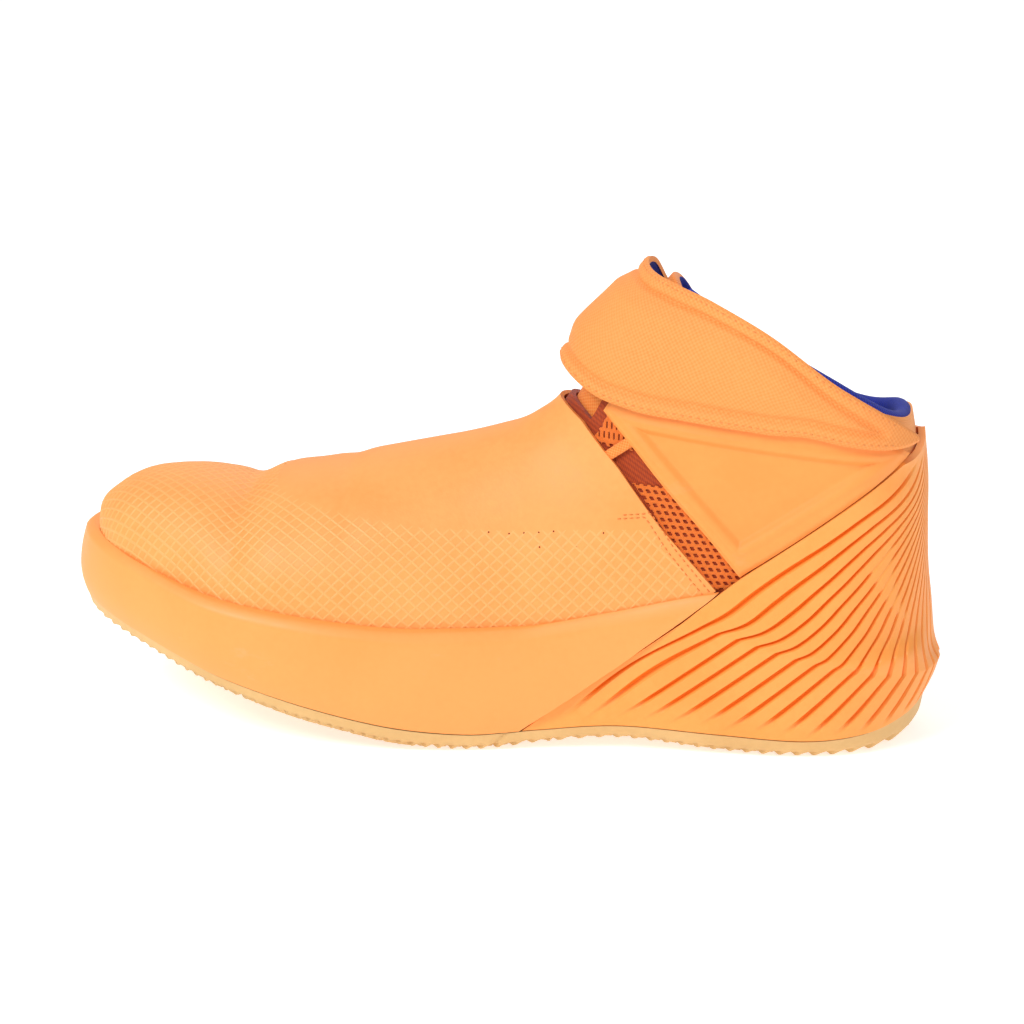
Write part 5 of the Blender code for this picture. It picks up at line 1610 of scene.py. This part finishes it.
# Name, place, target, size and watts of each light
LIGHTS = [
    ("key", (0.75, 0.95, 1.25), (0.0, 0.0, 0.05), 0.7, 16.5),
    ("fill", (-1.1, 1.0, 0.7), (0.0, 0.0, 0.05), 1.2, 2.5),
    ("back", (0.1, -1.1, 1.0), (0.0, 0.0, 0.08), 1.0, 4.0),
]


def add_light(name, place, target, size, watts):
    data = bpy.data.lights.new(name, "AREA")
    data.shape = "DISK"
    data.size = size
    data.energy = watts
    light = bpy.data.objects.new(name, data)
    bpy.context.scene.collection.objects.link(light)
    light.location = place
    way = np.array(target, float) - np.array(place, float)
    light.rotation_mode = "QUATERNION"
    light.rotation_quaternion = Vector(way).to_track_quat("-Z", "Y")


def make_studio():
    """Pale floor and soft light all round."""
    bpy.context.scene.view_settings.view_transform = "Standard"
    bpy.ops.object.select_all(action="DESELECT")
    bpy.ops.mesh.primitive_plane_add(size=12.0, location=(0.0, 0.0, 0.0))
    floor = bpy.context.active_object
    floor.name = "studio_floor"
    look = Look("studio_floor", 0.9)
    look.set("Base Color", (0.8, 0.8, 0.8, 1.0))
    look.set("Emission Color", (1.0, 1.0, 1.0, 1.0))
    look.set("Emission Strength", 0.55)
    floor.data.materials.append(look.made)
    world = bpy.data.worlds.new("studio")
    bpy.context.scene.world = world
    world.use_nodes = True
    background = world.node_tree.nodes["Background"]
    background.inputs["Color"].default_value = (1.0, 1.0, 1.0, 1.0)
    seen = world.node_tree.nodes.new("ShaderNodeLightPath").outputs["Is Camera Ray"]
    strength = ramp(world.node_tree, seen, 0.0, 1.0, 0.5, 1.0)
    world.node_tree.links.new(strength, background.inputs["Strength"])
    for light in LIGHTS:
        add_light(*light)


def main():
    make_camera()
    GROUPS.update(mottle=mottle_group(), grain=grain_group(), weave=weave_group(), scuff=scuff_group())
    knit = cloth_look("orange_knit", ORANGE_WARM, ORANGE_DEEP, 7.0)
    lining = cloth_look("blue_lining", BLUE, BLUE_DARK, 9.0, sheen=0.05)
    make_upper([upper_look(), lining])
    make_shroud([plain_look("shroud_skin", ORANGE_PALE, ORANGE, 0.55, 900.0, 0.25)])
    # The ribs' lighter colour is partly polish, partly painted highlight
    make_shroud_ribs([plain_look("shroud_rib_skin", RIB_POLISH_AND_HIGHLIGHT_PALE, RIB_POLISH_AND_HIGHLIGHT_SHADE, 0.5, 900.0, 0.15)])
    make_cup_sole([plain_look("cup_skin", CUP_PALE, CUP_SHADE, 0.5, 1200.0, 0.12, scuffs=0.25)])
    make_tread([plain_look("gum_skin", GUM_PALE, GUM_SHADE, 0.6, 1000.0, 0.2)])
    make_cage([cage_look()])
    moulded = plain_look("quarter_skin", QUARTER_PALE, QUARTER_SHADE, 0.6, 1300.0, 0.12, scuffs=0.15)
    make_quarter("quarter_outer", 1, [moulded], "quarter_lateral")
    make_quarter("quarter_inner", -1, [moulded], "quarter_medial")
    make_patch([cloth_look("loop_pile", BLUE, BLUE_DARK, 6.0, 0.8)])
    make_strap([strap_look(), lining])
    make_tongue([knit, lining])
    make_insole([lining])
    braid = cloth_look("lace_braid", ORANGE, ORANGE_DEEP, 8.0)
    make_lace([braid])
    make_gap_lace("gap_lace_outer", 1, [braid])
    make_gap_lace("gap_lace_inner", -1, [braid])
    net = cloth_look("net_knit", ORANGE_DEEP, NET_SHADE, 16.0)
    make_side_net("side_net_outer", 1, [net])
    make_side_net("side_net_inner", -1, [net])
    make_collar([lining])
    thread = cloth_look("orange_thread", THREAD_PALE, ORANGE_DEEP, 22.0)
    sew("shroud_stitches", shroud_seams(), 1.5, 0.55, [thread])
    strap_thread = cloth_look("strap_thread", STRAP_THREAD_PALE, STRAP_THREAD_SHADE, 22.0)
    sew("strap_stitches", strap_seams(), 1.3, 0.5, [strap_thread])
    # Dark beads of painted shadow stand for the breathing holes
    vents = plain_look("vent_shadow", VENT_SHADOW_PALE, VENT_SHADE, 0.9, 900.0, 0.1)
    sew("shroud_vents", vent_places(), 0.65, 0.65, [vents])
    blue_thread = cloth_look("blue_thread", BLUE, BLUE_DARK, 22.0)
    sew("loop_stitches", patch_seams(), 1.4, 0.5, [blue_thread])
    make_studio()


main()
